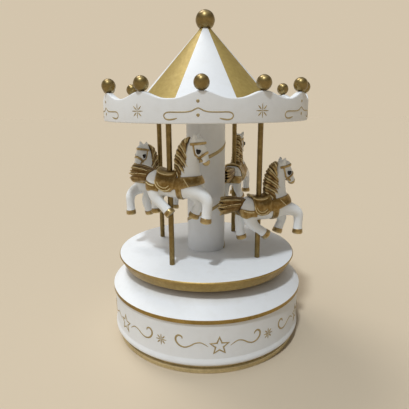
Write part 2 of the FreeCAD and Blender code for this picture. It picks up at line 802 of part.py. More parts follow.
def mainspring():
    """A flat steel strip wound in a spiral of half turns about two centres."""
    low = barrel_low + barrel_floor + spring_end_gap / 2
    high = barrel_top - ear_thickness - spring_end_gap

    def side(offset):
        arcs = []
        for number in range(spring_half_turns):
            radius = spring_inner_radius + number * spring_pitch / 2 + offset
            shift = spring_pitch / 2 if number % 2 else 0.0
            sign = -1 if number % 2 else 1
            start = Vec(shift + sign * radius, 0, low)
            middle = Vec(shift, sign * radius, low)
            end = Vec(shift - sign * radius, 0, low)
            arcs.append(Part.Arc(start, middle, end))
        return arcs

    outer = side(spring_strip / 2)
    inner = side(-spring_strip / 2)
    edges = [arc.toShape() for arc in outer]
    edges.append(Part.LineSegment(outer[-1].EndPoint, inner[-1].EndPoint).toShape())
    edges += [arc.toShape() for arc in reversed(inner)]
    edges.append(Part.LineSegment(inner[0].StartPoint, outer[0].StartPoint).toShape())
    wire = Part.Wire(Part.__sortEdges__(edges))
    return Part.Face(wire).extrude(Vec(0, 0, high - low))


def comb_screw_spots():
    """Two screws in the comb's root."""
    middle = cylinder_x + cylinder_length / 2
    y = comb_back_y + comb_root / 2
    return [(middle - cylinder_length / 4, y), (middle + cylinder_length / 4, y)]


def bracket_screw_spots():
    """One screw in each ear of the cylinder's outer bracket."""
    x = bracket_x + bracket_thickness / 2
    low_y = -post_half_width - bracket_ear / 2
    high_y = governor_y + post_half_width + bracket_ear / 2
    return [(x, low_y), (x, high_y)]


def governor_span():
    """The limits of the governor frame's flange in X and Y."""
    x_span = (worm_x - 2 * worm_wheel_width - governor_wall, bracket_x - shaft_gap)
    y_span = (governor_y - governor_wall, worm_y + fan_radius + shaft_gap + governor_wall)
    return x_span, y_span


def governor_screw_spots():
    """Two screws in the governor frame's flange."""
    x_span, y_span = governor_span()
    inset = small_screw[0] + shaft_gap / 2
    return [(x_span[0] + inset, y_span[1] - governor_wall - 2 * inset),
            (x_span[1] - inset, governor_y + 2 * inset)]


def bedplate():
    """The cast plate with the cylinder's inner bearing post and the riser under the comb."""
    body = block((bedplate_back, bedplate_front), (bedplate_right, bedplate_left), (bedplate_low, panel_low))
    body = body.common(disc(bedplate_radius, bedplate_low, panel_low))
    middle_z = (bedplate_low + panel_low) / 2
    post = block((post_x, post_x + post_thickness), (-post_half_width, post_half_width),
                 (axis_z - post_below_axis, middle_z))
    riser = block((cylinder_x, cylinder_x + cylinder_length), (comb_back_y, comb_back_y + comb_root),
                  (comb_high, middle_z))
    body = body.fuse(post).fuse(riser)
    cutters = [disc(arbor_radius + run_gap, bedplate_low, panel_low)]
    cutters.append(rod(cylinder_arbor_radius + run_gap, post_x, post_x + post_thickness, 0, axis_z))
    cutters += [shank_hole(x, y, bedplate_low, movement_screw) for x, y in movement_screws_at]
    cutters += [shank_hole(x, y, comb_low, comb_screw) for x, y in comb_screw_spots()]
    cutters += [shank_hole(x, y, barrel_top - ear_thickness, barrel_screw) for x, y in pillar_spots()]
    flange_spots = bracket_screw_spots() + governor_screw_spots()
    cutters += [shank_hole(x, y, flange_low, small_screw) for x, y in flange_spots]
    return cut_all(body, cutters)


def movement_screws():
    """Screws through the bedplate into the drum's top."""
    return Part.makeCompound([pan_screw(x, y, bedplate_low, movement_screw) for x, y in movement_screws_at])


def cylinder_arbor():
    """The steel arbor of the tune cylinder."""
    return rod(cylinder_arbor_radius, pinion_x, bracket_x + bracket_thickness, 0, axis_z)


def cylinder_pinion():
    """The pinion that the great wheel drives."""
    width = crown_face + 2 * pinion_overhang
    bore = cylinder_arbor_radius + seat_gap
    gear = spur_gear(crown_pinion_teeth, crown_module, width, bore, crown_pinion_backlash)
    return across(gear, pinion_x, 0, axis_z)


def cylinder_wheel():
    """The wheel at the far end of the cylinder that drives the governor."""
    bore = cylinder_arbor_radius + seat_gap
    gear = spur_gear(wheel_teeth, wheel_module, wheel_width, bore, wheel_backlash)
    return across(gear, wheel_x, 0, axis_z)


def tune_cylinder():
    """The drum of the tune, with rows of pins, one row for each tooth of the comb."""
    body = rod(cylinder_radius, cylinder_x, cylinder_x + cylinder_length, 0, axis_z)
    golden_turn = 360.0 * (3 - math.sqrt(5)) / 2
    bite = pin_height / 2
    pins = []
    for note in range(note_count):
        x = cylinder_x + note_pitch * (note + 1)
        for beat in range(pins_per_note):
            turn = math.radians(golden_turn * (note * pins_per_note + beat))
            outward = Vec(0, math.cos(turn), math.sin(turn))
            start = Vec(x, 0, axis_z) + outward * (cylinder_radius - bite)
            pins.append(Part.makeCylinder(pin_radius, pin_height + bite, start, outward))
    body = body.multiFuse(pins)
    bore = cylinder_arbor_radius + seat_gap
    return body.cut(rod(bore, cylinder_x, cylinder_x + cylinder_length, 0, axis_z))


def comb():
    """The steel comb, whose teeth shorten towards the treble end."""
    body = block((cylinder_x, cylinder_x + cylinder_length), (comb_back_y, comb_tip_y), (comb_low, comb_high))
    slots = []
    for number in range(note_count + 1):
        x = cylinder_x + note_pitch * (number + 0.5)
        depth = comb_length - comb_root - comb_treble_short * number / note_count
        slots.append(block((x - comb_slot / 2, x + comb_slot / 2), (comb_tip_y - depth, comb_tip_y),
                           (comb_low, comb_high)))
    slots += [shank_hole(x, y, comb_low, comb_screw) for x, y in comb_screw_spots()]
    return cut_all(body, slots)


def comb_screws():
    """Screws through the comb's root into the riser."""
    return Part.makeCompound([pan_screw(x, y, comb_low, comb_screw) for x, y in comb_screw_spots()])


def cylinder_bracket():
    """The bearing bracket at the far end, which also carries the governor's arbor."""
    x_span = (bracket_x, bracket_x + bracket_thickness)
    low_y = -post_half_width
    high_y = governor_y + post_half_width
    body = block(x_span, (low_y, high_y), (axis_z - post_below_axis, bedplate_low))
    ear_half = small_screw[0] + shaft_gap / 2
    middle_x = bracket_x + bracket_thickness / 2
    ear = block((middle_x - ear_half, middle_x + ear_half), (low_y - bracket_ear, high_y + bracket_ear),
                (flange_low, bedplate_low))
    ear = ear.cut(block((middle_x - 2 * ear_half, x_span[0]), (low_y, high_y), (flange_low, bedplate_low)))
    body = body.fuse(ear)
    cutters = [rod(cylinder_arbor_radius + run_gap, x_span[0], x_span[1], 0, axis_z)]
    cutters.append(rod(governor_arbor_radius + run_gap, x_span[0], x_span[1], governor_y, axis_z))
    cutters += [shank_hole(x, y, flange_low, small_screw) for x, y in bracket_screw_spots()]
    return cut_all(body, cutters)


def bracket_screws():
    """Screws through the bracket's ears."""
    return Part.makeCompound([pan_screw(x, y, flange_low, small_screw) for x, y in bracket_screw_spots()])


def governor_arm_x():
    """The inner bearing arm of the governor's arbor, beside the end of the cylinder."""
    start = worm_wheel_x - shaft_gap / 2 - governor_wall
    return start, start + governor_wall


def governor_frame():
    """The frame that holds the worm spindle upright beside its wheel."""
    x_span, y_span = governor_span()
    body = block(x_span, y_span, (flange_low, bedplate_low))
    back_y = y_span[1] - governor_wall
    foot_z = (governor_foot_z, governor_foot_z + governor_wall)
    half = governor_wall * 1.5
    back = block((worm_x - 2 * half, worm_x + half), (back_y, y_span[1]), (foot_z[0], bedplate_low))
    body = body.fuse(back)
    body = body.fuse(block((worm_x - half, worm_x + half), (worm_y - half, y_span[1]), foot_z))
    arm = block(governor_arm_x(), (governor_y - governor_wall, governor_y + governor_wall),
                (axis_z - 1.5 * governor_wall, bedplate_low))
    body = body.fuse(arm)
    cutters = [disc(governor_arbor_radius + run_gap, foot_z[0], bedplate_low, worm_x, worm_y)]
    cutters.append(rod(governor_arbor_radius + run_gap, *governor_arm_x(), governor_y, axis_z))
    cutters += [shank_hole(x, y, flange_low, small_screw) for x, y in governor_screw_spots()]
    return cut_all(body, cutters)


def governor_screws():
    """Screws through the governor frame's flange."""
    return Part.makeCompound([pan_screw(x, y, flange_low, small_screw) for x, y in governor_screw_spots()])


def governor_arbor():
    """The arbor that carries the governor's pinion and wheel."""
    start = governor_arm_x()[0]
    return rod(governor_arbor_radius, start, bracket_x + bracket_thickness, governor_y, axis_z)


def governor_pinion():
    """The pinion driven by the cylinder's wheel."""
    width = wheel_width + 2 * pinion_overhang
    phase = 180.0 / wheel_pinion_teeth
    bore = governor_arbor_radius + seat_gap
    gear = spur_gear(wheel_pinion_teeth, wheel_module, width, bore, wheel_backlash, phase)
    return across(gear, wheel_x - pinion_overhang, governor_y, axis_z)


def governor_wheel():
    """The wheel that drives the worm."""
    bore = governor_arbor_radius + seat_gap
    gear = spur_gear(worm_wheel_teeth, worm_module, worm_wheel_width, bore, worm_backlash)
    return across(gear, worm_wheel_x, governor_y, axis_z)


def worm_spindle():
    """The upright worm with its thin pivots. Its thread meets a gap of the wheel on the -Y side."""
    root = worm_pitch_radius - root_share * worm_module - seat_gap
    tip = worm_pitch_radius + tip_share * worm_module
    half_pitch = (worm_lead / 2 - worm_backlash) / 2
    flank = math.tan(pressure_angle)
    half_tip = half_pitch - flank * tip_share * worm_module
    half_root = half_pitch + flank * (worm_pitch_radius - root)
    bite = 3 * seat_gap
    inner = root - bite
    profile = Part.makePolygon([Vec(inner, 0, -half_root), Vec(tip, 0, -half_tip), Vec(tip, 0, half_tip),
                                Vec(inner, 0, half_root), Vec(inner, 0, -half_root)])
    helix = Part.makeHelix(worm_lead, worm_lead * worm_turns, worm_pitch_radius)
    thread = Part.Wire(helix).makePipeShell([profile], True, True)
    thread.translate(Vec(0, 0, -worm_lead * (worm_turns // 2 - 0.25)))
    core_half = worm_lead * (worm_turns / 2 + 0.5)
    body = disc(root, -core_half, core_half).fuse(thread)
    shoulder_low = governor_foot_z + governor_wall + end_gap - axis_z
    shoulder_high = flange_low - end_gap - axis_z
    pivot_low = governor_foot_z - axis_z
    pivot_high = bedplate_low - end_gap - axis_z
    body = body.fuse(disc(worm_shaft_radius, shoulder_low, -core_half))
    body = body.fuse(disc(worm_shaft_radius, core_half, shoulder_high))
    body = body.fuse(disc(governor_arbor_radius, pivot_low, shoulder_low))
    body = body.fuse(disc(governor_arbor_radius, shoulder_high, pivot_high))
    body.translate(Vec(worm_x, worm_y, axis_z))
    return body


def fan():
    """The two-bladed air brake on the worm spindle."""
    low = governor_foot_z + governor_wall + fan_low_above_foot
    high = low + fan_height
    half = fan_blade / 2
    body = disc(fan_hub_radius, low, high, worm_x, worm_y)
    blades = block((worm_x - half, worm_x + half), (worm_y - fan_radius, worm_y + fan_radius), (low, high))
    body = body.fuse(blades)
    return body.cut(disc(worm_shaft_radius + seat_gap, low, high, worm_x, worm_y))


def save(name, shape):
    """Writes one node, after checking that it holds closed solids."""
    if not shape.isValid() or not shape.Solids:
        raise ValueError("bad solid: " + name)
    if min(solid.Volume for solid in shape.Solids) <= 0:
        raise ValueError("inside out: " + name)
    shape.exportStep("parts/" + name + ".step")
    print(name, len(shape.Solids), round(shape.Volume, 2))


single_pieces = [
    foot_ring, bottom_plate, bottom_screws, base_drum, spindle_bush, thrust_washer,
    platform_hub, hub_screws, platform, centre_column, canopy_deck, canopy_rim, rim_balls, roof_cone,
    finial_ball,
    winding_arbor, ratchet_wheel, great_wheel, click_pin, click, spring_barrel, barrel_pillars, barrel_screws,
    mainspring, bedplate, movement_screws, cylinder_arbor, cylinder_pinion, cylinder_wheel, tune_cylinder,
    comb, comb_screws, cylinder_bracket, bracket_screws, governor_frame, governor_screws, governor_arbor,
    governor_pinion, governor_wheel, worm_spindle, fan,
]

os.makedirs("parts", exist_ok=True)
for piece in single_pieces:
    save(piece.__name__, piece())
horse_model = horse_at_origin()
for horse_name, pole_number, horse_heading, saddle_height, horse_tilt in horses:
    save("pole_" + horse_name, pole(pole_number))
    save("horse_" + horse_name, horse(horse_model, pole_number, horse_heading, saddle_height, horse_tilt))
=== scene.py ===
# %% [markdown]
# # A white and gold carousel music box
# Four horses turn round a column under a striped roof, on a drum that hides a spring movement.
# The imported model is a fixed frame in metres. Every piece below is drawn in that frame, so
# nothing has to be fitted afterwards: a piece goes where its node is, and rides on the body that
# carries it.

# %% Load the frame
import json
import math

import bmesh
import bpy
import numpy as np
from mathutils import Matrix, Vector


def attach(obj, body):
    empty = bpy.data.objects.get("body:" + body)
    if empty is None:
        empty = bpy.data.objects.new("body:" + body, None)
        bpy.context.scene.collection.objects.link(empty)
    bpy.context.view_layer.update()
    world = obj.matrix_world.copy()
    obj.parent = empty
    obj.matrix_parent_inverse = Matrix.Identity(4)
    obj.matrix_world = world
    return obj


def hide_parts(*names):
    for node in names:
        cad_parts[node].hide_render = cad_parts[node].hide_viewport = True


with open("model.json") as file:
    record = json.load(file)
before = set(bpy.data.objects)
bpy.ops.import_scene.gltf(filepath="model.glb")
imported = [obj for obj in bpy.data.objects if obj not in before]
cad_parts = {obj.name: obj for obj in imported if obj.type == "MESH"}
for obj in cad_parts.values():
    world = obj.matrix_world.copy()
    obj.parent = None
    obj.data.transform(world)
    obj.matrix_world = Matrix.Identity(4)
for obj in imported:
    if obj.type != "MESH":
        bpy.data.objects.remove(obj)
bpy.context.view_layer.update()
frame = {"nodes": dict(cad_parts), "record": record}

MM = 0.001
nodes = frame["nodes"]
scene = bpy.context.scene
scene.view_settings.view_transform = "Standard"

# %% [markdown]
# ## Camera
# The photograph was taken from about the height of the canopy's rim, tilted down by fourteen
# degrees. The place, tilt and focal length were found by fitting the round edges of drum,
# platform and rim. Blender wants a lens in millimetres, so the focal length in pixels is scaled
# by the sensor's width.

# %% Camera
PHOTO_SIDE = 409
FOCAL_PIXELS = 390.52
SENSOR_WIDTH = 36.0
CAMERA_PLACE = (-0.00092, -0.22115, 0.12996)
TILT_DOWN = math.radians(14.238)
ROLL = math.radians(0.323)

camera_data = bpy.data.cameras.new("photo_camera")
camera_data.sensor_width = SENSOR_WIDTH
camera_data.lens = SENSOR_WIDTH * FOCAL_PIXELS / PHOTO_SIDE
camera_data.clip_start = 0.01
camera = bpy.data.objects.new("photo_camera", camera_data)
scene.collection.objects.link(camera)
camera.matrix_world = (Matrix.Translation(CAMERA_PLACE)
                       @ Matrix.Rotation(math.pi / 2 - TILT_DOWN, 4, "X")
                       @ Matrix.Rotation(-ROLL, 4, "Z"))
scene.camera = camera
print("lens", round(camera_data.lens, 2), "mm")

# %% [markdown]
# ## Lamps
# The shadows in the photograph come from a window in front, on the left, and from a broad, warmer
# light behind. Lamps close by would light the near side of so small an object too strongly. A sun
# lamp lights it evenly, and its width sets how soft the edge of a shadow is.

# %% Lamps
# Each lamp: where its light comes from, its strength, its width in degrees and its colour.
LAMPS = {"window_lamp": ((-0.17, -0.44, 1.0), 1.8, 4, (0.90, 0.96, 1.0)),
         "ceiling_lamp": ((-0.36, 0.42, 1.0), 1.05, 22, (1.0, 0.96, 0.90))}

for name, (come_from, strength, width, colour) in LAMPS.items():
    lamp_data = bpy.data.lights.new(name, "SUN")
    lamp_data.energy, lamp_data.angle, lamp_data.color = strength, math.radians(width), colour
    lamp = bpy.data.objects.new(name, lamp_data)
    lamp.rotation_euler = Vector(come_from).to_track_quat("Z", "Y").to_euler()
    scene.collection.objects.link(lamp)
print("lamps:", *LAMPS)

# %% [markdown]
# ## Node helpers
# Worlds, finishes and geometry trees are all made of nodes and links. Written out one by one they
# fill pages, so one helper makes a node, sets it up, and fills or links its sockets in one go.

# %% Node helpers
def join(tree, start, end):
    """Links an output to an input, each given as (node, socket)."""
    tree.links.new(start[0].outputs[start[1]], end[0].inputs[end[1]])


def new_node(tree, kind, sockets=None, **settings):
    """A node with its settings. Each socket gets a value, or a link from a (node, socket)."""
    node = tree.nodes.new(kind)
    for title, value in settings.items():
        setattr(node, title, value)
    for socket, value in (sockets or {}).items():
        if isinstance(value, tuple) and isinstance(value[0], bpy.types.Node):
            join(tree, value, (node, socket))
        else:
            node.inputs[socket].default_value = value
    return node


def new_math(tree, operation, *values, clamp=False):
    """The result of a Math node, as a (node, socket)."""
    node = new_node(tree, "ShaderNodeMath", dict(enumerate(values)), operation=operation,
                    use_clamp=clamp)
    return node, "Value"


print("node helpers ready")

# %% [markdown]
# ## Sky
# The sky lights what the lamps don't reach, most of it from above and from the left. Together
# with the lamps it lights a level white surface to about the colour that it is painted. What the
# camera and the gold see of it is another ramp: a pale backdrop near the horizon, a dim room
# above that and a bright ceiling. Gold only looks like metal when it has contrasts to reflect.

# %% Sky
BACKDROP = (0.655, 0.558, 0.419)
SKY_LEAN = (-0.62, -0.10, 0.78)
SKY_LIGHT = [(0.0, (0.095, 0.088, 0.077)), (0.45, (0.295, 0.282, 0.265)), (1.0, (0.86, 0.84, 0.80))]
SKY_SEEN = [(0.0, BACKDROP), (0.30, BACKDROP), (0.46, (0.20, 0.18, 0.15)),
            (0.74, (0.16, 0.15, 0.14)), (0.86, (0.70, 0.70, 0.69)), (1.0, (0.80, 0.80, 0.80))]


def sky_shade(tree, height, stops):
    """A background whose colour runs with a height through stops, each a place and a colour."""
    shade = new_node(tree, "ShaderNodeValToRGB", {"Fac": height})
    band = shade.color_ramp
    while len(band.elements) < len(stops):
        band.elements.new(0.5)
    for element, (place, colour) in zip(band.elements, stops):
        element.position = place
        element.color = (*colour, 1.0)
    return new_node(tree, "ShaderNodeBackground", {"Color": (shade, "Color")}), "Background"


def make_sky():
    """A world with one ramp for lighting, and another for rays that are seen."""
    world = bpy.data.worlds.new("studio_sky")
    world.use_nodes = True
    tree = world.node_tree
    tree.nodes.clear()
    place = new_node(tree, "ShaderNodeTexCoord")
    level = new_node(tree, "ShaderNodeSeparateXYZ", {"Vector": (place, "Generated")})
    lean = new_node(tree, "ShaderNodeVectorMath", {0: (place, "Generated"), 1: SKY_LEAN},
                    operation="DOT_PRODUCT")
    path = new_node(tree, "ShaderNodeLightPath")
    seen = new_math(tree, "MAXIMUM", (path, "Is Camera Ray"), (path, "Is Glossy Ray"))
    seen = new_math(tree, "MAXIMUM", seen, (path, "Is Transmission Ray"))
    pick = new_node(tree, "ShaderNodeMixShader", {
        "Fac": seen, 1: sky_shade(tree, (lean, "Value"), SKY_LIGHT),
        2: sky_shade(tree, (level, "Z"), SKY_SEEN)})
    new_node(tree, "ShaderNodeOutputWorld", {"Surface": (pick, "Shader")})
    return world


scene.world = make_sky()
print("sky:", len(scene.world.node_tree.nodes), "nodes")

# %% [markdown]
# ## Floor
# A plain pale floor that is large enough to reach the horizon. It has no gloss, so that it shows
# the object's shadow and nothing else. Far away it has the colour of the backdrop, and no line
# shows.

# %% Floor
FLOOR_COLOUR = (0.54, 0.46, 0.352, 1.0)
FLOOR_ROUGHNESS = 0.62
FLOOR_HALF = 4.0

floor_mesh = bpy.data.meshes.new("floor")
floor_mesh.from_pydata([(x * FLOOR_HALF, y * FLOOR_HALF, 0)
                        for x, y in ((-1, -1), (1, -1), (1, 1), (-1, 1))], [], [(0, 1, 2, 3)])
floor = bpy.data.objects.new("floor", floor_mesh)
scene.collection.objects.link(floor)
floor_paint = bpy.data.materials.new("pale_floor")
floor_paint.use_nodes = True
floor_shader = floor_paint.node_tree.nodes["Principled BSDF"]
floor_shader.inputs["Base Color"].default_value = FLOOR_COLOUR
floor_shader.inputs["Roughness"].default_value = FLOOR_ROUGHNESS
floor_shader.inputs["Specular IOR Level"].default_value = 0.0
floor_mesh.materials.append(floor_paint)
print("floor of", 2 * FLOOR_HALF, "m")

# %% [markdown]
# ## Effects that several finishes share
# Sprayed lacquer, brushed gold and cast metal all vary a little over the surface. Two shader
# groups give each finish the same effects with its own values: a soft mottle with a fine grain
# like orange peel, and masks of the hollows and the ridges. On gold, dark colour stays in the
# hollows and is wiped off the ridges; on white, the dark in the hollows is grime and painted shade.
# The hollows come from an attribute on the meshes, because it is known exactly while they are
# made.

# %% Shader groups
SPECK_FINENESS = 11.0


def new_group(name, inputs, outputs):
    """An empty shader group with named number inputs (and their values) and outputs."""
    group = bpy.data.node_groups.new(name, "ShaderNodeTree")
    for title, value in inputs.items():
        socket = group.interface.new_socket(title, in_out="INPUT", socket_type="NodeSocketFloat")
        socket.default_value = value
    for title in outputs:
        group.interface.new_socket(title, in_out="OUTPUT", socket_type="NodeSocketFloat")
    return group, group.nodes.new("NodeGroupInput"), group.nodes.new("NodeGroupOutput")


def noise(group, scale, detail):
    """A noise over the object's own coordinates."""
    spot = new_node(group, "ShaderNodeTexCoord")
    return new_node(group, "ShaderNodeTexNoise",
                    {"Vector": (spot, "Object"), "Scale": scale, "Detail": detail}), "Fac"


def make_mottle():
    """Soft clouds from 0 to 1, with a finer grain laid over them."""
    group, come, leave = new_group("soft_mottle", {"Scale": 60.0, "Grain": 0.35, "Contrast": 2.0},
                                   ["Tone", "Speck"])
    cloud = noise(group, (come, "Scale"), 5.0)
    speck = noise(group, new_math(group, "MULTIPLY", (come, "Scale"), SPECK_FINENESS), 2.0)
    blend = new_node(group, "ShaderNodeMix", {"Factor": (come, "Grain"), 2: cloud, 3: speck})
    centred = new_math(group, "SUBTRACT", (blend, 0), 0.5)
    tone = new_math(group, "MULTIPLY_ADD", centred, (come, "Contrast"), 0.5, clamp=True)
    join(group, tone, (leave, "Tone"))
    join(group, speck, (leave, "Speck"))
    return group


def make_hollows():
    """How deep in a hollow and how exposed on a ridge, from 0 to 1, broken up by a noise."""
    group, come, leave = new_group("hollow_wash_and_shade", {"Depth": 1.0, "Break": 0.4, "Scale": 300.0},
                                   ["Hollow", "Ridge"])
    read = new_node(group, "ShaderNodeAttribute", attribute_name="hollow")
    centred = new_math(group, "SUBTRACT", noise(group, (come, "Scale"), 3.0), 0.5)
    uneven = new_math(group, "MULTIPLY_ADD", centred, (come, "Break"), (read, "Fac"))
    upside_down = new_math(group, "MULTIPLY", uneven, -1.0)
    for side, title in ((uneven, "Hollow"), (upside_down, "Ridge")):
        join(group, new_math(group, "MULTIPLY", side, (come, "Depth"), clamp=True), (leave, title))
    return group


mottle_group = make_mottle()
hollow_group = make_hollows()
print("groups:", mottle_group.name, hollow_group.name)

# %% [markdown]
# ## Finishes
# White: sprayed lacquer on turned wood or moulded resin, a little cool, with a gentle sheen.
# Gold: bronze powder paint. It is a metal with an uneven sheen, darker where it has pooled and
# paler where it is rubbed. The movement's parts are plain metal, board and nylon with a grain.
# Each family is a function over one common build, so that every slot gets its own values.

# %% Common build of a finish
def colour_mix(tree, factor, first, second):
    """Mixes two colours, or a colour socket and a colour, by a factor socket."""
    colours = [c if isinstance(c[0], bpy.types.Node) else (*c, 1.0) for c in (first, second)]
    mix = new_node(tree, "ShaderNodeMix", {0: factor, 6: colours[0], 7: colours[1]},
                   data_type="RGBA")
    return mix, 2


def make_finish(name, mottle, ground, hollow_settings, overlays, rough, bump, fixed):
    """A material: two ground colours in a mottle, with others laid over where a mask is: a wash,
    grime or painted shade.

    rough is the effect that the roughness follows and its two ends, bump is a strength and a
    depth in millimetres, and fixed has the values that are the same all over."""
    made = bpy.data.materials.new(name)
    made.use_nodes = True
    tree = made.node_tree
    shader = tree.nodes["Principled BSDF"]
    clouds = new_node(tree, "ShaderNodeGroup", mottle, node_tree=mottle_group)
    colour = colour_mix(tree, (clouds, "Tone"), *ground)
    if overlays:
        hollow_masks = new_node(tree, "ShaderNodeGroup", hollow_settings, node_tree=hollow_group)
    for mask, overlay in overlays:
        colour = colour_mix(tree, (hollow_masks, mask), colour, overlay)
    join(tree, colour, (shader, "Base Color"))
    gloss = new_node(tree, "ShaderNodeMapRange",
                     {"Value": (clouds, rough[0]), "To Min": rough[1], "To Max": rough[2]})
    join(tree, (gloss, "Result"), (shader, "Roughness"))
    raised = new_node(tree, "ShaderNodeBump", {
        "Strength": bump[0], "Distance": bump[1] * MM, "Height": (clouds, "Speck")})
    join(tree, (raised, "Normal"), (shader, "Normal"))
    for title, value in fixed.items():
        shader.inputs[title].default_value = value
    return made


print("finishes are built on", mottle_group.name, "and", hollow_group.name)

# %% Families of finishes
def lacquer(name, light, shade, grime_and_shade, gloss=(0.40, 0.52), scale=45.0):
    """Sprayed lacquer: two close colours, grime and painted shade in the hollows, and a fine orange
    peel.
    """
    return make_finish(
        name, {"Scale": scale, "Grain": 0.25, "Contrast": 1.6}, (shade, light),
        {"Depth": 0.9, "Break": 0.5, "Scale": 220.0}, [("Hollow", grime_and_shade)],
        ("Tone", gloss[1], gloss[0]), (0.12, 0.08), {"Specular IOR Level": 0.3})


def gilt(name, dark, middle, bright, gloss, scale, depth=1.0, metal=0.86, coat=0.0):
    """Bronze powder paint: dark in the hollows, pale on the ridges, perhaps under a varnish."""
    half_dark = [(a + b) / 2 for a, b in zip(dark, middle)]
    return make_finish(
        name, {"Scale": scale, "Grain": 0.45, "Contrast": 2.4}, (half_dark, middle),
        {"Depth": depth, "Break": 0.7, "Scale": 420.0}, [("Ridge", bright), ("Hollow", dark)],
        ("Tone", gloss[1], gloss[0]), (0.16, 0.06),
        {"Metallic": metal, "Coat Weight": coat, "Coat Roughness": 0.28})


def plain_metal(name, colour, darker, gloss, metallic=1.0, scale=400.0):
    """Machined metal, board or moulded parts of the movement, with a grain."""
    return make_finish(
        name, {"Scale": scale, "Grain": 0.5, "Contrast": 1.8}, (darker, colour), {}, [],
        ("Speck", *gloss), (0.1, 0.05), {"Metallic": metallic})


print("families: lacquer, gilt and plain metal")

# %% White lacquers
# The third white colour goes into the hollows: grime, and painted shade in corners and under the
# platform.
WHITE, WHITE_SHADE, GRIME_AND_SHADE = (0.785, 0.81, 0.845), (0.74, 0.765, 0.80), (0.56, 0.53, 0.47)
WHITE_SCALES = {"drum_paint": 42.0, "platform_paint": 36.0, "column_paint": 55.0,
                "deck_paint": 40.0, "rim_paint": 48.0, "roof_paint": 30.0}

paint = {slot: lacquer(slot, WHITE, WHITE_SHADE, GRIME_AND_SHADE, scale=scale)
         for slot, scale in WHITE_SCALES.items()}
# The darker hollows of the horse's white are grime and painted shade.
paint["horse_resin"] = lacquer("horse_resin", (0.815, 0.85, 0.885), (0.765, 0.795, 0.825),
                               (0.50, 0.46, 0.41), (0.22, 0.34), 110.0)
paint["cream_piping"] = lacquer("cream_piping", (0.80, 0.70, 0.43), (0.66, 0.54, 0.28),
                                (0.35, 0.25, 0.10), scale=200.0)
paint["eye_black"] = lacquer("eye_black", (0.012, 0.011, 0.012), (0.02, 0.016, 0.014),
                             (0.01, 0.01, 0.01), (0.08, 0.16), 300.0)
print(len(paint), "lacquers")

# %% Golds
GOLD_BRIGHT = (0.66, 0.50, 0.21)
# Each gold: its dark, middle and bright colours, its range of roughness, its scale and the rest.
GOLDS = {
    # foot_gold is the palest gold: partly the foot's own pale paint, partly painted light that
    # lifts it out of the drum's shade.
    "foot_gold": ((0.17, 0.12, 0.05), (0.70, 0.57, 0.31), (0.80, 0.69, 0.44), (0.34, 0.5), 90.0,
                  {"metal": 0.45}),
    "edge_gold": ((0.10, 0.062, 0.018), (0.40, 0.275, 0.085), GOLD_BRIGHT, (0.34, 0.5), 90.0, {}),
    "bead_gold": ((0.09, 0.06, 0.018), (0.28, 0.20, 0.07), (0.55, 0.44, 0.20), (0.32, 0.46), 170.0,
                  {"coat": 0.3}),
    "pole_gold": ((0.07, 0.044, 0.014), (0.235, 0.163, 0.054), GOLD_BRIGHT, (0.28, 0.42), 120.0,
                  {"coat": 0.2}),
    "stripe_gold": ((0.25, 0.165, 0.05), (0.455, 0.34, 0.10), (0.62, 0.49, 0.21), (0.46, 0.60),
                    60.0, {"metal": 0.4}),
    "line_gold": ((0.22, 0.165, 0.08), (0.45, 0.36, 0.19), (0.56, 0.47, 0.28), (0.38, 0.52), 200.0,
                  {"metal": 0.5}),
    "tack_gold": ((0.045, 0.027, 0.009), (0.275, 0.172, 0.045), (0.80, 0.66, 0.37), (0.27, 0.42),
                  260.0, {"depth": 1.35, "coat": 0.25}),
    "hair_gold": ((0.03, 0.016, 0.006), (0.18, 0.102, 0.026), (0.60, 0.47, 0.235), (0.30, 0.46),
                  240.0, {"depth": 1.6, "coat": 0.2}),
}
for name, (*values, rest) in GOLDS.items():
    paint[name] = gilt(name, *values, **rest)
print(len(GOLDS), "golds")

# %% Finishes of the movement and the bottom
# Each one: its colour, a darker colour, its range of roughness and, where needed, metal and scale.
WORKSHOP = {
    "bottom_board": ((0.24, 0.155, 0.085), (0.15, 0.09, 0.045), (0.6, 0.8), 0.0, 260.0),
    "movement_casting": ((0.50, 0.50, 0.49), (0.38, 0.38, 0.37), (0.42, 0.6)),
    "spring_housing": ((0.60, 0.58, 0.52), (0.46, 0.44, 0.40), (0.3, 0.45)),
    "spring_steel": ((0.34, 0.35, 0.38), (0.22, 0.23, 0.27), (0.25, 0.4)),
    "screw_steel": ((0.62, 0.62, 0.61), (0.48, 0.48, 0.47), (0.25, 0.4)),
    "gear_brass": ((0.72, 0.52, 0.20), (0.56, 0.38, 0.13), (0.25, 0.4)),
    "nylon": ((0.78, 0.77, 0.72), (0.70, 0.69, 0.64), (0.4, 0.55), 0.0),
}
for name, values in WORKSHOP.items():
    paint[name] = plain_metal(name, *values)
print(len(paint), "finishes")

# %% [markdown]
# ## Nodes that keep their shape
# The movement, the bottom board, its screws and the four poles are right as they were packed.
# They get their finish by the slot that the record gives each node.

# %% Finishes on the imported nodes
node_slot = {part["node"]: part["material_slot"] for part in frame["record"]["subparts"]}
for name, piece in nodes.items():
    piece.data.materials.clear()
    piece.data.materials.append(paint[node_slot[name]])
print("finished", len(node_slot), "nodes in", len(set(node_slot.values())), "slots")

# %% [markdown]
# ## Turned pieces
# Drum, foot, platform, column and roof were turned or moulded round. A profile of corners, each
# with its own small rounding, is swept round the axis. The rounded corners matter: a sharp edge
# never catches the light. A corner also names the paint of the edge that leaves it, so painted
# bands have clean borders.

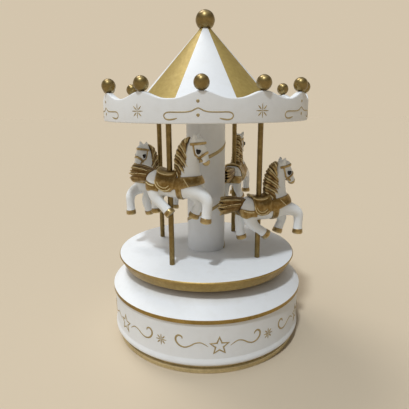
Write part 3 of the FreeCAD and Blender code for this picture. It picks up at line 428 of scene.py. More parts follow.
# %% A piece from points
def make_piece(name, points, faces, paints, face_paint=None, hollow=None):
    """A mesh object at the origin from points in millimetres."""
    mesh = bpy.data.meshes.new(name)
    mesh.from_pydata((np.asarray(points, float) * MM).tolist(), [],
                     [list(map(int, face)) for face in faces])
    for finish in paints:
        mesh.materials.append(finish)
    if face_paint is not None:
        mesh.polygons.foreach_set("material_index", np.asarray(face_paint, np.int32))
    mesh.polygons.foreach_set("use_smooth", np.ones(len(mesh.polygons), bool))
    if hollow is not None:
        depth = mesh.attributes.new("hollow", "FLOAT", "POINT")
        depth.data.foreach_set("value", np.asarray(hollow, np.float32))
    mesh.validate()
    mesh.update()
    piece = bpy.data.objects.new(name, mesh)
    scene.collection.objects.link(piece)
    return piece


print("pieces are drawn in millimetres and kept in metres, scale", MM)

# %% Rounded profiles
# On white lacquer the dark that this puts into inward corners is grime and painted shade; on gold
# it is patina.
BEND_SOIL_AND_SHADE = 0.55    # how hollow a corner counts for each radian that it bends inwards
LONGEST_CUT = 0.48  # how much of an edge a rounding may take


def rounded(corners, steps=5):
    """A closed profile from (radius, height, rounding, paint) corners: points, paints and hollows.

    A fifth value, where there is one, is darkening at a sharp corner: painted shade, with a little
    dust."""
    points, paints, hollows = [], [], []
    for number, (radius, height, fillet, tone, *shade_and_dust) in enumerate(corners):
        here = np.array((radius, height))
        if fillet == 0:
            points.append(here)
            paints.append(tone)
            hollows.append(shade_and_dust[0] if shade_and_dust else 0.0)
            continue
        back = np.array(corners[number - 1][:2]) - here
        ahead = np.array(corners[(number + 1) % len(corners)][:2]) - here
        back_length, ahead_length = np.linalg.norm(back), np.linalg.norm(ahead)
        back, ahead = back / back_length, ahead / ahead_length
        turn = back[0] * ahead[1] - back[1] * ahead[0]
        bend = math.copysign(math.acos(max(-1.0, min(1.0, -float(back @ ahead)))), turn)
        cut = min(fillet * math.tan(abs(bend) / 2), LONGEST_CUT * back_length,
                  LONGEST_CUT * ahead_length)
        start, end = here + back * cut, here + ahead * cut
        for step in range(steps + 1):
            t = step / steps
            points.append((1 - t) ** 2 * start + 2 * t * (1 - t) * here + t ** 2 * end)
            paints.append(corners[number - 1][3] if step < steps / 2 else tone)
            hollows.append(BEND_SOIL_AND_SHADE * bend * 4 * t * (1 - t))
    return points, paints, hollows


print("a square of 2 mm, rounded, has", len(rounded([(1, 0, 0.2, 0), (3, 0, 0.2, 0), (3, 2, 0.2, 0),
                                                    (1, 2, 0.2, 0)])[0]), "points")

# %% Turning helper
ON_AXIS = 1e-6  # radius below which a ring is a single point


def turned(name, corners, finishes, around):
    """Sweeps a closed profile round the axis. The outside is on the profile's right."""
    profile, tones, bends = rounded(corners)
    angles = 2 * math.pi * np.arange(around) / around
    single = [radius <= ON_AXIS for radius, height in profile]
    points, first, hollow = [], [], []
    for (radius, height), alone, bend in zip(profile, single, bends):
        first.append(len(points))
        ring = angles[:1] if alone else angles
        points += [(radius * math.cos(a), radius * math.sin(a), height) for a in ring]
        hollow += [bend] * len(ring)
    faces, face_paint = [], []
    for here, tone in enumerate(tones):
        after = (here + 1) % len(profile)
        if single[here] and single[after]:
            continue
        for k in range(around):
            pair = (k, (k + 1) % around)
            a, b = (first[here] + (0 if single[here] else n) for n in pair)
            d, c = (first[after] + (0 if single[after] else n) for n in pair)
            faces.append((a, b, c) if single[after] else
                         (a, c, d) if single[here] else (a, b, c, d))
            face_paint.append(tone)
    return make_piece(name, points, faces, finishes, face_paint, hollow)


print("turning helper ready")

# %% [markdown]
# ## Drum and foot
# The drum has a sloped shoulder, a gold edge under it, a slightly hollow wall and a flared white
# lip. The gold foot below it has a lip and a dark groove. Both profiles repeat the sizes of the
# imported nodes. Under the platform the shoulder is darker towards the gap: a painted shadow of the
# platform, with a little dust.

# %% Drum and foot
WALL_RADIUS = 54.2
# The third finish, the dark board, lies under the platform as painted shade.
W, G, SHADE_BOARD = 0, 1, 2  # white, gold and bare board, in the order of a piece's finishes
ROUND = 240
drum = turned("drum_shell", [
    (4.1, 40.0, 0.3, W), (4.1, 35.6, 0.3, W), (43.2, 35.6, 0.3, W), (43.2, 33.2, 0.3, W),
    (45.0, 29.5, 0.3, W), (45.0, 5.0, 0.3, W), (53.8, 5.0, 0.5, W), (54.85, 6.2, 0.8, W),
    (54.75, 7.4, 0.8, W), (WALL_RADIUS, 9.4, 2.4, W), (WALL_RADIUS, 28.1, 0.15, G),
    # The fifth values darken the shoulder under the platform: painted shadow, with a little dust.
    (55.0, 28.7, 0.3, G), (55.0, 30.7, 0.5, W), (49.6, 35.11, 0, W, 0.0), (48.2, 36.25, 0, W, 0.2),
    (46.6, 37.55, 0, W, 0.6), (45.2, 38.69, 0, W, 1.0), (43.6, 40.0, 0, W, 1.2),
    (41.5, 40.0, 0, W, 1.2),
], [paint["drum_paint"], paint["edge_gold"]], ROUND)
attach(drum, "base")
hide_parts("base_drum")
foot = turned("foot_band", [
    (50.03, 5.0, 0.2, 0), (50.03, 0.0, 0.2, 0), (53.0, 0.0, 0.5, 0), (53.0, 2.5, 0.5, 0),
    (51.8, 2.8, 0.3, 0), (51.8, 5.0, 0.2, 0),
], [paint["foot_gold"]], ROUND)
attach(foot, "base")
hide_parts("foot_ring")
print("drum", len(drum.data.polygons), "faces, foot", len(foot.data.polygons))

# %% [markdown]
# ## Platform and column
# The platform is white on top, with a gold edge bevelled inwards and a bare underside whose dark
# board colour is painted shade, deepening the gap above the drum. The column is plain and white.
# Both are turned in one piece each, with the bores that their nodes have.

# %% Platform and column
COLUMN_RADIUS = 10.8
platform = turned("turntable", [
    # The underside gets the dark bare board finish: painted shade for the gap above the drum.
    (4.03, 48.3, 0.1, W), (4.03, 42.2, 0.1, SHADE_BOARD), (48.0, 42.2, 0.4, G), (50.95, 47.75, 0.35, G),
    (50.5, 48.3, 0.35, W),
], [paint["platform_paint"], paint["edge_gold"], paint["bottom_board"]], ROUND)
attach(platform, "carousel")
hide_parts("platform")
column = turned("column_post", [
    (0, 125.4, 0, W), (0, 54.4, 0, W), (4.03, 54.4, 0.1, W), (4.03, 48.3, 0.1, W),
    (COLUMN_RADIUS, 48.3, 0.25, W), (COLUMN_RADIUS, 122.4, 0.25, W), (6.0, 122.4, 0.1, W),
    (6.0, 125.4, 0.2, W),
], [paint["column_paint"]], around=96)
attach(column, "carousel")
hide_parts("centre_column")
print("platform", len(platform.data.polygons), "faces, column", len(column.data.polygons))

# %% [markdown]
# ## Roof
# The roof is a cone in eight stripes, the white ones a little wider. The stripes could be a
# pattern in the paint. Here they are separate faces, so their borders stay straight in any light
# and export.

# %% Striped roof
STRIPE_PAIRS = 4
HALF_WHITE = math.radians(24.0)
FACES_UP = 0.2  # a face whose normal rises more than this is on the slope
roof = turned("striped_roof", [
    (0, 162.94, 0, W), (0, 126.0, 0, W), (42.0, 126.0, 0.3, W), (2.94, 168.97, 0.3, W),
    (1.53, 168.97, 0.1, W), (1.53, 162.94, 0.1, W),
], [paint["roof_paint"], paint["stripe_gold"]], ROUND)
for face in roof.data.polygons:
    turn = math.atan2(face.center.y, face.center.x) + math.pi / 2 + HALF_WHITE
    striped = turn % (2 * math.pi / STRIPE_PAIRS) > 2 * HALF_WHITE
    face.material_index = G if striped and face.normal.z > FACES_UP else W
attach(roof, "carousel")
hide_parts("roof_cone")
print("roof faces in gold:", sum(face.material_index for face in roof.data.polygons))

# %% [markdown]
# ## Rim of the canopy
# The rim is a ring whose top edge rises and falls in twelve waves, with a bead on each crest. Its
# height is a rule of the angle, so it is drawn as a grid: one closed profile with rounded edges
# at each step round the ring.

# %% Rim
RIM_OUTER, RIM_INNER, RIM_LOW = 54.5, 51.5, 122.4
RIM_VALLEY, RIM_PEAK = 133.0, 136.0
WAVES, RIM_TURN = 12, math.radians(-92.0)
CREST_FLAT, CREST_POWER = 1.04, 1.35


def rim_top(angle):
    """Height of the wavy edge: round crests with broader valleys."""
    wave = 0.5 + 0.5 * math.cos(WAVES * (angle - RIM_TURN))
    return RIM_VALLEY + (RIM_PEAK - RIM_VALLEY) * min(1.0, CREST_FLAT * wave ** CREST_POWER)


def make_rim(around=480):
    """The ring, as one rounded profile for each step."""
    points, hollow = [], []
    for step in range(around):
        angle = 2 * math.pi * step / around
        top = rim_top(angle)
        profile, _, bends = rounded([(RIM_INNER, top, 0.7, 0), (RIM_INNER, RIM_LOW, 0.4, 0),
                                     (RIM_OUTER, RIM_LOW, 0.5, 0), (RIM_OUTER, top, 0.7, 0)], 4)
        points += [(r * math.cos(angle), r * math.sin(angle), z) for r, z in profile]
        hollow += bends
    size = len(points) // around
    faces = []
    for a in range(around):
        here, after = a * size, (a + 1) % around * size
        for k in range(size):
            m = (k + 1) % size
            faces.append((here + k, after + k, after + m, here + m))
    return make_piece("wavy_rim", points, faces, [paint["rim_paint"]], None, hollow)


rim = make_rim()
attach(rim, "carousel")
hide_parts("canopy_rim")
print("rim", len(rim.data.polygons), "faces")

# %% [markdown]
# ## A ring of copies
# Beads, stars, starbursts and scrolls repeat round the object. One geometry tree places any motif
# round the axis: its inputs are how many, and the turn of the first. The tree realizes its copies
# and sets their finish, because an export drops what is only an instance.

# %% Geometry tree helpers
def new_tree(name, inputs, output):
    """An empty geometry tree with typed inputs and one output for what it makes."""
    tree = bpy.data.node_groups.new(name, "GeometryNodeTree")
    for title, kind in inputs.items():
        tree.interface.new_socket(title, in_out="INPUT", socket_type="NodeSocket" + kind)
    tree.interface.new_socket(output, in_out="OUTPUT", socket_type="NodeSocketGeometry")
    return tree, tree.nodes.new("NodeGroupInput")


def end_tree(tree, come, shape, output):
    """Realizes the shape, gives it the tree's finish and puts it out."""
    real = new_node(tree, "GeometryNodeRealizeInstances", {"Geometry": shape})
    painted = new_node(tree, "GeometryNodeSetMaterial",
                       {"Geometry": (real, "Geometry"), "Material": (come, "Finish")})
    new_node(tree, "NodeGroupOutput", {output: (painted, "Geometry")})
    return tree


def run_tree(piece, tree, values):
    """Runs a geometry tree on a piece and keeps the result as a plain mesh."""
    modifier = piece.modifiers.new(tree.name, "NODES")
    modifier.node_group = tree
    for item in tree.interface.items_tree:
        if item.in_out == "INPUT" and item.name in values:
            modifier[item.identifier] = values[item.name]
    bpy.context.view_layer.update()
    shown = piece.evaluated_get(bpy.context.evaluated_depsgraph_get())
    mesh = bpy.data.meshes.new_from_object(shown)
    piece.modifiers.clear()
    piece.data = mesh
    mesh.polygons.foreach_set("use_smooth", np.ones(len(mesh.polygons), bool))
    mesh.update()
    return piece


print("geometry tree helpers ready")

# %% Ring tree
def make_ring_tree():
    """Copies of a motif, turned in even steps round the axis."""
    tree, come = new_tree("ring_of_motifs", {"Motif": "Geometry", "Count": "Int",
                                             "First Turn": "Float", "Finish": "Material"}, "Ring")
    spots = new_node(tree, "GeometryNodePoints", {"Count": (come, "Count")})
    number = new_node(tree, "GeometryNodeInputIndex")
    share = new_math(tree, "DIVIDE", 2 * math.pi, (come, "Count"))
    angle = new_math(tree, "MULTIPLY_ADD", (number, "Index"), share, (come, "First Turn"))
    vector = new_node(tree, "ShaderNodeCombineXYZ", {"Z": angle})
    turn = new_node(tree, "FunctionNodeEulerToRotation", {"Euler": (vector, "Vector")})
    copies = new_node(tree, "GeometryNodeInstanceOnPoints", {
        "Points": (spots, "Points"), "Instance": (come, "Motif"), "Rotation": (turn, "Rotation")})
    return end_tree(tree, come, (copies, "Instances"), "Ring")


ring_tree = make_ring_tree()
print("inputs:", [item.name for item in ring_tree.interface.items_tree if item.in_out == "INPUT"])

# %% [markdown]
# ## Beads and finial
# Each bead is a turned ball with a flat seat and a peg below it, hidden in the rim. A faint
# turning mark runs round it. The finial on the roof is a larger ball of the same kind.

# %% Beads and finial
BEAD_CIRCLE = 53.0
MARK_DEPTH, MARKS = 0.004, 9


def ball_profile(radius, centre, seat, peg, peg_low, rings=22):
    """A ball that is flat where it sits, with a peg, as a profile from the peg to the top."""
    corners = [(0, peg_low, 0, 0), (peg, peg_low, 0.1, 0), (peg, seat, 0, 0)]
    low = math.asin(max(-1.0, (seat - centre) / radius))
    for step in range(rings + 1):
        turn = low + (math.pi / 2 - low) * step / rings
        reach = radius * (1 + MARK_DEPTH * math.cos(MARKS * turn))
        corners.append((reach * math.cos(turn) if step < rings else 0,
                        centre + reach * math.sin(turn), 0, 0))
    return corners


bead = turned("rim_beads", ball_profile(radius=3.4, centre=139.3, seat=RIM_PEAK - 0.05, peg=0.8,
                                        peg_low=133.0), [paint["bead_gold"]], around=40)
bead.data.transform(Matrix.Translation((BEAD_CIRCLE * MM, 0, 0)))
beads = run_tree(bead, ring_tree, {"Count": WAVES, "First Turn": RIM_TURN,
                                   "Finish": paint["bead_gold"]})
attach(beads, "carousel")
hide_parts("rim_balls")
finial = turned("roof_finial", ball_profile(radius=5.05, centre=173.12, seat=169.0, peg=1.5,
                                            peg_low=163.0, rings=32), [paint["bead_gold"]],
                around=72)
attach(finial, "carousel")
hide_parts("finial_ball")
print("beads", len(beads.data.polygons), "faces, finial", len(finial.data.polygons))

# %% [markdown]
# ## Painted ornament
# The gold lines were drawn with a fine brush and stand a little proud. They could be drawn in the
# paint, but then they would have no edge to catch the light. Here a stroke is a curve in
# millimetres along the wall (across, up) with a width at each point. It becomes a low domed
# ribbon that is wrapped round the wall.

# %% Smooth curves and outward faces
def smooth_chain(knots, per_span=6):
    """A smooth curve through knots of any number of values, as an array."""
    knots = np.asarray(knots, float)
    padded = np.vstack([2 * knots[0] - knots[1], knots, 2 * knots[-1] - knots[-2]])
    chain = []
    for a, b, c, d in zip(padded, padded[1:], padded[2:], padded[3:]):
        for step in range(per_span):
            t = step / per_span
            chain.append(0.5 * (2 * b + (c - a) * t + (2 * a - 5 * b + 4 * c - d) * t ** 2
                                + (3 * b - a - 3 * c + d) * t ** 3))
    chain.append(padded[-2])
    return np.array(chain)


def face_outwards(piece):
    """Turns the faces of closed shells outwards."""
    work = bmesh.new()
    work.from_mesh(piece.data)
    bmesh.ops.recalc_face_normals(work, faces=work.faces)
    work.to_mesh(piece.data)
    work.free()
    piece.data.update()


print("curve helper ready")

# %% Brush strokes
DOME = ((-1.0, -0.06), (-0.72, 0.09), (0.0, 0.16), (0.72, 0.09), (1.0, -0.06))
FULL_WIDTH = 0.6  # a narrower stroke is lower too
REPEATS = 6


class Band:
    """Collects painted strokes on a round wall, and wraps them."""

    def __init__(self, radius, height):
        self.radius, self.height = radius, height
        self.points, self.faces = [], []

    def put(self, across, up, proud):
        """Adds a point on the wall and returns its number."""
        angle = across / self.radius - math.pi / 2
        reach = self.radius + proud
        self.points.append((reach * math.cos(angle), reach * math.sin(angle), self.height + up))
        return len(self.points) - 1

    def loft(self, rings, closed=False):
        """Faces between rings of points, with caps at open ends."""
        size = len(rings[0])
        pairs = list(zip(rings, rings[1:])) + ([(rings[-1], rings[0])] if closed else [])
        for ring, after in pairs:
            self.faces += [(ring[k], after[k], after[(k + 1) % size], ring[(k + 1) % size])
                           for k in range(size)]
        if not closed:
            self.faces += [tuple(rings[0]), tuple(reversed(rings[-1]))]

    def stroke(self, knots):
        """A line through (across, up, width) knots."""
        chain = smooth_chain(knots)
        slope = np.gradient(chain[:, :2], axis=0)
        slope /= np.linalg.norm(slope, axis=1)[:, None] + 1e-12
        rings = []
        for (x, y, width), (along, rise) in zip(chain, slope):
            rings.append([self.put(x - side * rise * width / 2, y + side * along * width / 2,
                                   proud * min(1, width / FULL_WIDTH)) for side, proud in DOME])
        self.loft(rings)

    def mirrored(self, knots, x=0.0):
        """A stroke and its mirror image about the line at x."""
        self.stroke([(x + a, b, w) for a, b, w in knots])
        self.stroke([(x - a, b, w) for a, b, w in knots])

    def half_repeat(self):
        """The way along the wall from the middle of a repeat to its end."""
        return math.pi / REPEATS * self.radius

    def piece(self, name, first_turn, finish):
        """The strokes as a mesh, repeated round the wall."""
        made = make_piece(name, self.points, self.faces, [finish])
        made = run_tree(made, ring_tree, {"Count": REPEATS, "First Turn": first_turn,
                                          "Finish": finish})
        face_outwards(made)
        return made


print("a stroke has", len(DOME), "points across")

# %% Drops, stars and bursts
DROP = ((1.0, -0.06), (0.85, 0.1), (0.5, 0.2), (0.05, 0.24))
DROP_POINTS = 14
# A ray's start, reach and width, as shares of the burst's own.
THIN_RAY, THICK_RAY = (0.04, 1.0, 0.8), (0.28, 0.98, 1.0)


def paint_drop(band, x, y, radius):
    """A drop of paint."""
    turns = np.linspace(0, 2 * math.pi, DROP_POINTS + 1)[:-1]
    band.loft([[band.put(x + share * radius * math.cos(a), y + share * radius * math.sin(a), proud)
                for a in turns] for share, proud in DROP])


def paint_star(band, x, y, outer, waist, line, per_side=6):
    """The outline of a five-pointed star, a little broader towards its points."""
    corners = []
    for k in range(10):
        reach = outer if k % 2 == 0 else outer * waist
        angle = math.pi / 2 + k * math.pi / 5
        corners.append(np.array((reach * math.cos(angle), reach * math.sin(angle))))
    rings = []
    for start, end in zip(corners, corners[1:] + corners[:1]):
        for t in np.arange(per_side) / per_side:
            spot = start + (end - start) * t
            size = np.linalg.norm(spot)
            ring = []
            for side, proud in DOME:
                shrink = 1 - (side + 1) / 2 * line / outer / (0.55 + 0.45 * size / outer)
                ring.append(band.put(x + spot[0] * shrink, y + spot[1] * shrink, proud))
            rings.append(ring)
    band.loft(rings, True)


def paint_burst(band, x, y, reach, line):
    """Eight rays: four thin ones from the centre, four between them that start further out."""
    for k in range(8):
        angle = k * math.pi / 4
        start, share_reach, share_width = THICK_RAY if k % 2 else THIN_RAY
        size, width = reach * share_reach, line * share_width
        middle = start + (1 - start) * 0.45
        band.stroke([(x + share * size * math.cos(angle), y + share * size * math.sin(angle),
                      width * swell)
                     for share, swell in ((start, 0.5), (middle, 1.0), (0.97, 0.45))])


print("motifs ready: drop, star and burst")

# %% [markdown]
# ## Ornament of drum and rim
# A repeat of the drum's band is a star between two scrolls, and a starburst. On the rim it is a
# bracket with two dots, and a starburst. Each is drawn once and goes through the ring tree.

# %% Drum ornament
STAR_ASIDE = 1.3
DRUM_TURN = math.radians(5.0)
SCROLL = [(5.6, -0.5, 0.3), (7.2, 0.7, 0.52), (9.4, 1.7, 0.66), (12.0, 1.2, 0.72),
          (14.6, -0.4, 0.78), (17.2, -1.3, 0.88), (19.8, -0.6, 1.0), (21.5, 1.4, 1.12),
          (21.6, 3.6, 1.15), (20.2, 4.9, 1.1), (18.7, 4.4, 0.92), (18.3, 3.3, 0.5)]
drum_band = Band(WALL_RADIUS, 16.7)
paint_star(drum_band, STAR_ASIDE, -0.3, outer=5.6, waist=0.46, line=1.75)
drum_band.mirrored(SCROLL, STAR_ASIDE)
paint_burst(drum_band, drum_band.half_repeat(), 0.6, reach=3.0, line=0.92)
drum_ornament = drum_band.piece("drum_ornament", DRUM_TURN, paint["line_gold"])
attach(drum_ornament, "base")
print("drum ornament", len(drum_ornament.data.polygons), "faces")

# %% Rim ornament
BRACKET_TURN = math.radians(-3.6)
BRACKET = [(0.0, 1.75, 0.55), (1.0, 1.35, 0.6), (2.6, 0.55, 0.62), (5.0, 0.08, 0.62),
           (9.0, 0.0, 0.62), (12.6, 0.0, 0.62), (14.3, -0.5, 0.62), (14.9, -1.6, 0.62),
           (14.2, -2.7, 0.66), (12.6, -3.1, 0.75), (10.6, -2.9, 0.75), (9.0, -2.5, 0.35)]
rim_band = Band(RIM_OUTER, 127.3)
rim_band.mirrored(BRACKET)
for up in (4.5, -1.2):
    paint_drop(rim_band, 0.0, up, radius=0.78)
paint_burst(rim_band, rim_band.half_repeat(), 0.4, reach=3.2, line=0.66)
rim_ornament = rim_band.piece("rim_ornament", BRACKET_TURN, paint["line_gold"])
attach(rim_ornament, "carousel")
print("rim ornament", len(rim_ornament.data.polygons), "faces")

# %% [markdown]
# ## Gold band round the column
# A gold line climbs the column to the right, about once in thirty millimetres. It follows a rule,
# so a geometry tree makes it: a helix, a flat oval profile along it, and caps. Its turn is set so
# that it crosses the front where it should.

# %% Band tree
def make_band_tree():
    """A flat oval line that climbs round the axis."""
    kinds = {"Column": "Geometry", **dict.fromkeys(
        ("Radius", "Height", "Turns", "Low", "Start Turn", "Proud", "Width"), "Float"),
        "Finish": "Material"}
    tree, come = new_tree("climbing_band", kinds, "Band")
    helix = new_node(tree, "GeometryNodeCurveSpiral", {
        "Resolution": 90, "Reverse": True, "Rotations": (come, "Turns"), "Height": (come, "Height"),
        "Start Radius": (come, "Radius"), "End Radius": (come, "Radius")})
    upright = new_node(tree, "GeometryNodeSetCurveNormal", {"Curve": (helix, "Curve")}, mode="Z_UP")
    circle = new_node(tree, "GeometryNodeCurvePrimitiveCircle", {"Resolution": 14, "Radius": 1.0})
    size = new_node(tree, "ShaderNodeCombineXYZ", {"X": (come, "Proud"), "Y": (come, "Width")})
    oval = new_node(tree, "GeometryNodeTransform",
                    {"Geometry": (circle, "Curve"), "Scale": (size, "Vector")})
    sweep = new_node(tree, "GeometryNodeCurveToMesh", {
        "Curve": (upright, "Curve"), "Profile Curve": (oval, "Geometry"), "Fill Caps": True})
    lift = new_node(tree, "ShaderNodeCombineXYZ", {"Z": (come, "Low")})
    turn = new_node(tree, "ShaderNodeCombineXYZ", {"Z": (come, "Start Turn")})
    placed = new_node(tree, "GeometryNodeTransform", {
        "Geometry": (sweep, "Mesh"), "Translation": (lift, "Vector"), "Rotation": (turn, "Vector")})
    return end_tree(tree, come, (placed, "Geometry"), "Band")


band_tree = make_band_tree()
print("band tree:", len(band_tree.nodes), "nodes")

# %% Column band
BAND_LOW, BAND_HIGH, BAND_PITCH, BAND_FRONT = 48.0, 122.8, 30.0, 102.3
BAND_PROUD, BAND_WIDTH = 0.3, 0.95
start_turn = -math.pi / 2 - 2 * math.pi * (BAND_FRONT - BAND_LOW) / BAND_PITCH
# The tree draws the whole band. A small triangle carries it until then.
band = make_piece("column_band", [(0, 0, 0), (1, 0, 0), (0, 1, 0)], [(0, 1, 2)],
                  [paint["line_gold"]])
band = run_tree(band, band_tree, {
    "Radius": COLUMN_RADIUS * MM, "Height": (BAND_HIGH - BAND_LOW) * MM,
    "Turns": (BAND_HIGH - BAND_LOW) / BAND_PITCH, "Low": BAND_LOW * MM, "Start Turn": start_turn,
    "Proud": BAND_PROUD * MM, "Width": BAND_WIDTH * MM, "Finish": paint["line_gold"]})
face_outwards(band)
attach(band, "carousel")
print("band box in mm:", [[round(x / MM, 1) for x in corner]
                          for corner in (band.bound_box[0], band.bound_box[6])])

# %% [markdown]
# ## Modelling clay
# The horses are castings: round limbs that run into each other, with hair, harness and hooves in
# low relief. Such forms are hard to draw face by face. Here they are a field: a number at each
# point of a fine grid, negative inside and positive outside. Limbs join it with a soft seam, like
# clay, and a skin is drawn where the field is zero.

# %% Clay grid
GRID = 0.3
CLAY_LOW, CLAY_HIGH = (-25.2, -8.7, -26.7), (26.4, 8.7, 22.5)
FAR = 4.0
axes = [np.arange(low, high, GRID, dtype=np.float32) for low, high in zip(CLAY_LOW, CLAY_HIGH)]


def fresh_clay():
    """An empty field."""
    return np.full([len(axis) for axis in axes], FAR, np.float32)


def window(low, high, reach):
    """The part of the grid near a box: its slices and its coordinates."""
    cut = []
    for axis, start, end in zip(axes, low, high):
        first, last = np.searchsorted(axis, (start - reach, end + reach))
        cut.append(slice(int(first), int(last)))
    x, y, z = (axis[c] for axis, c in zip(axes, cut))
    return tuple(cut), x[:, None, None], y[None, :, None], z[None, None, :]


def soft_min(one, two, blend):
    """The smaller of two fields, with a soft seam."""
    if blend <= 0:
        return np.minimum(one, two)
    near = np.maximum(blend - np.abs(one - two), 0) / blend
    return np.minimum(one, two) - near * near * blend / 4


def soft_max(one, two, blend):
    """The larger of two fields, with a soft edge."""
    return -soft_min(-one, -two, blend)


print("clay of", [len(axis) for axis in axes], "points")

# %% Limbs and lumps
LIMB_MARGIN, LUMP_MARGIN = 1.5, 1.0


def limb(clay, knots, blend, per_span=5):
    """Adds a limb through (x, y, z, tall, wide) knots: radii in the side view and across it."""
    chain = smooth_chain(knots, per_span)
    thick = max(float(chain[:, 3].max()), float(chain[:, 4].max()))
    cut, x, y, z = window(chain[:, :3].min(0) - thick, chain[:, :3].max(0) + thick,
                          LIMB_MARGIN + blend)
    part = np.full(clay[cut].shape, FAR, np.float32)
    for a, b in zip(chain, chain[1:]):
        squash = float((a[3] + b[3]) / (a[4] + b[4]))
        ax, ay, az = (float(v) for v in (b[0] - a[0], (b[1] - a[1]) * squash, b[2] - a[2]))
        px, py, pz = x - float(a[0]), (y - float(a[1])) * squash, z - float(a[2])
        along = np.clip((px * ax + py * ay + pz * az) / (ax * ax + ay * ay + az * az + 1e-9), 0, 1)
        gap = np.sqrt((px - along * ax) ** 2 + (py - along * ay) ** 2 + (pz - along * az) ** 2)
        gap -= float(a[3]) + along * float(b[3] - a[3])
        np.minimum(part, gap * min(1.0, 1 / squash), out=part)
    clay[cut] = soft_min(clay[cut], part, blend)


def limbs(clay, knots, blend):
    """A limb and its mirror image."""
    for side in (1, -1):
        limb(clay, [(x, side * y, z, tall, wide) for x, y, z, tall, wide in knots], blend)


def lump(clay, centre, size, blend, tilt=0.0, carve=False):
    """Adds an egg-shaped lump, turned in the side view by a tilt, or carves one out."""
    reach = max(size)
    cut, x, y, z = window(np.array(centre) - reach, np.array(centre) + reach, LUMP_MARGIN + blend)
    turn = math.radians(tilt)
    px, pz = x - centre[0], z - centre[2]
    along = px * math.cos(turn) + pz * math.sin(turn)
    across = pz * math.cos(turn) - px * math.sin(turn)
    egg = np.sqrt((along / size[0]) ** 2 + ((y - centre[1]) / size[1]) ** 2
                  + (across / size[2]) ** 2)
    egg = (egg - 1) * min(size)
    clay[cut] = soft_max(clay[cut], -egg, blend) if carve else soft_min(clay[cut], egg, blend)


def lumps(clay, centre, size, blend, tilt=0.0, carve=False):
    """A lump on each side."""
    for side in (1, -1):
        lump(clay, (centre[0], side * centre[1], centre[2]), size, blend, tilt, carve)


print("limbs and lumps ready")

# %% Layers
def outline(corners):
    """Distance in the side view to a polygon of (x, z) corners, negative inside."""
    x, z = axes[0][:, None], axes[2][None, :]
    corners = np.asarray(corners, np.float32)
    nearest = np.full((len(axes[0]), len(axes[2])), 1e6, np.float32)
    inside = np.zeros(nearest.shape, bool)
    for a, b in zip(corners, np.roll(corners, -1, 0)):
        ex, ez = b - a
        px, pz = x - a[0], z - a[1]
        along = np.clip((px * ex + pz * ez) / (ex * ex + ez * ez), 0, 1)
        nearest = np.minimum(nearest, (px - along * ex) ** 2 + (pz - along * ez) ** 2)
        crosses = (a[1] > z) != (b[1] > z)
        if ez != 0:
            inside ^= crosses & (x < ex * (z - a[1]) / ez + a[0])
    gap = np.sqrt(nearest)
    return np.where(inside, -gap, gap)[:, None, :]


def layer(clay, corners, proud, soft, depth=0.8):
    """A layer over a field within an outline of the side view, such as a strap."""
    return soft_max(np.maximum(clay - proud, -clay - depth), outline(corners), soft)


def on_surface(field, x, z, side):
    """How far out a field reaches at a point of the side view."""
    i, k = round((x - CLAY_LOW[0]) / GRID), round((z - CLAY_LOW[2]) / GRID)
    inside = np.nonzero(field[i, :, k] < 0)[0]
    if len(inside) == 0:
        return 0.0
    j = inside[-1] if side > 0 else inside[0]
    other = j + (1 if side > 0 else -1)
    share = field[i, j, k] / (field[i, j, k] - field[i, other, k])
    return CLAY_LOW[1] + GRID * (j + (other - j) * share)


print("layers ready")

# %% [markdown]
# ## Skin of the clay
# Metaballs or a Remesh modifier could give such a skin too, with less control over fine hair. A
# skin drawn from the field itself has its points exactly where the field is zero: each cell of
# the grid that the surface passes gets one point, and each crossed grid edge one face. Thin tips
# of hair can leave crumbs, or touch along an edge only, so the field is mended first.

# %% Mending the field
FILLED = -0.02
MEND_ROUNDS = 3


def mended(field):
    """Fills points where clay touches along an edge only, or a pit opens at a corner only."""
    field = field.copy()
    for _ in range(MEND_ROUNDS):
        for across, up in ((0, 1), (1, 2), (0, 2)):
            grid = np.moveaxis(field, (across, up), (0, 1))
            a, b, c, d = grid[:-1, :-1], grid[1:, :-1], grid[:-1, 1:], grid[1:, 1:]
            b[(a < 0) & (d < 0) & (b >= 0) & (c >= 0)] = FILLED
            a[(b < 0) & (c < 0) & (a >= 0) & (d >= 0)] = FILLED
        for along, up in ((1, 1), (1, -1), (-1, 1), (-1, -1)):
            grid = field[:, ::along, ::up]
            corner = [grid[i:i - 1 or None, j:j - 1 or None, k:k - 1 or None]
                      for i, j, k in np.ndindex(2, 2, 2)]
            walls = np.all([c < 0 for c in corner[1:7]], axis=0)
            corner[0][(corner[0] >= 0) & (corner[7] >= 0) & walls] = FILLED
    return field


def drop_crumbs(points, faces, fewest=60):
    """Leaves out crumbs that hang free and closed bubbles, with fewer faces than given."""
    mark = np.arange(len(points))
    while True:
        lowest = mark[faces].min(1)
        after = mark.copy()
        for k in range(4):
            np.minimum.at(after, faces[:, k], lowest)
        after = after[after]
        if (after == mark).all():
            break
        mark = after
    shell = mark[faces[:, 0]]
    faces = faces[np.bincount(shell, minlength=len(points))[shell] >= fewest]
    used = np.unique(faces)
    number = np.zeros(len(points), np.int64)
    number[used] = np.arange(len(used))
    return points[used], number[faces]


print("mending tools ready")

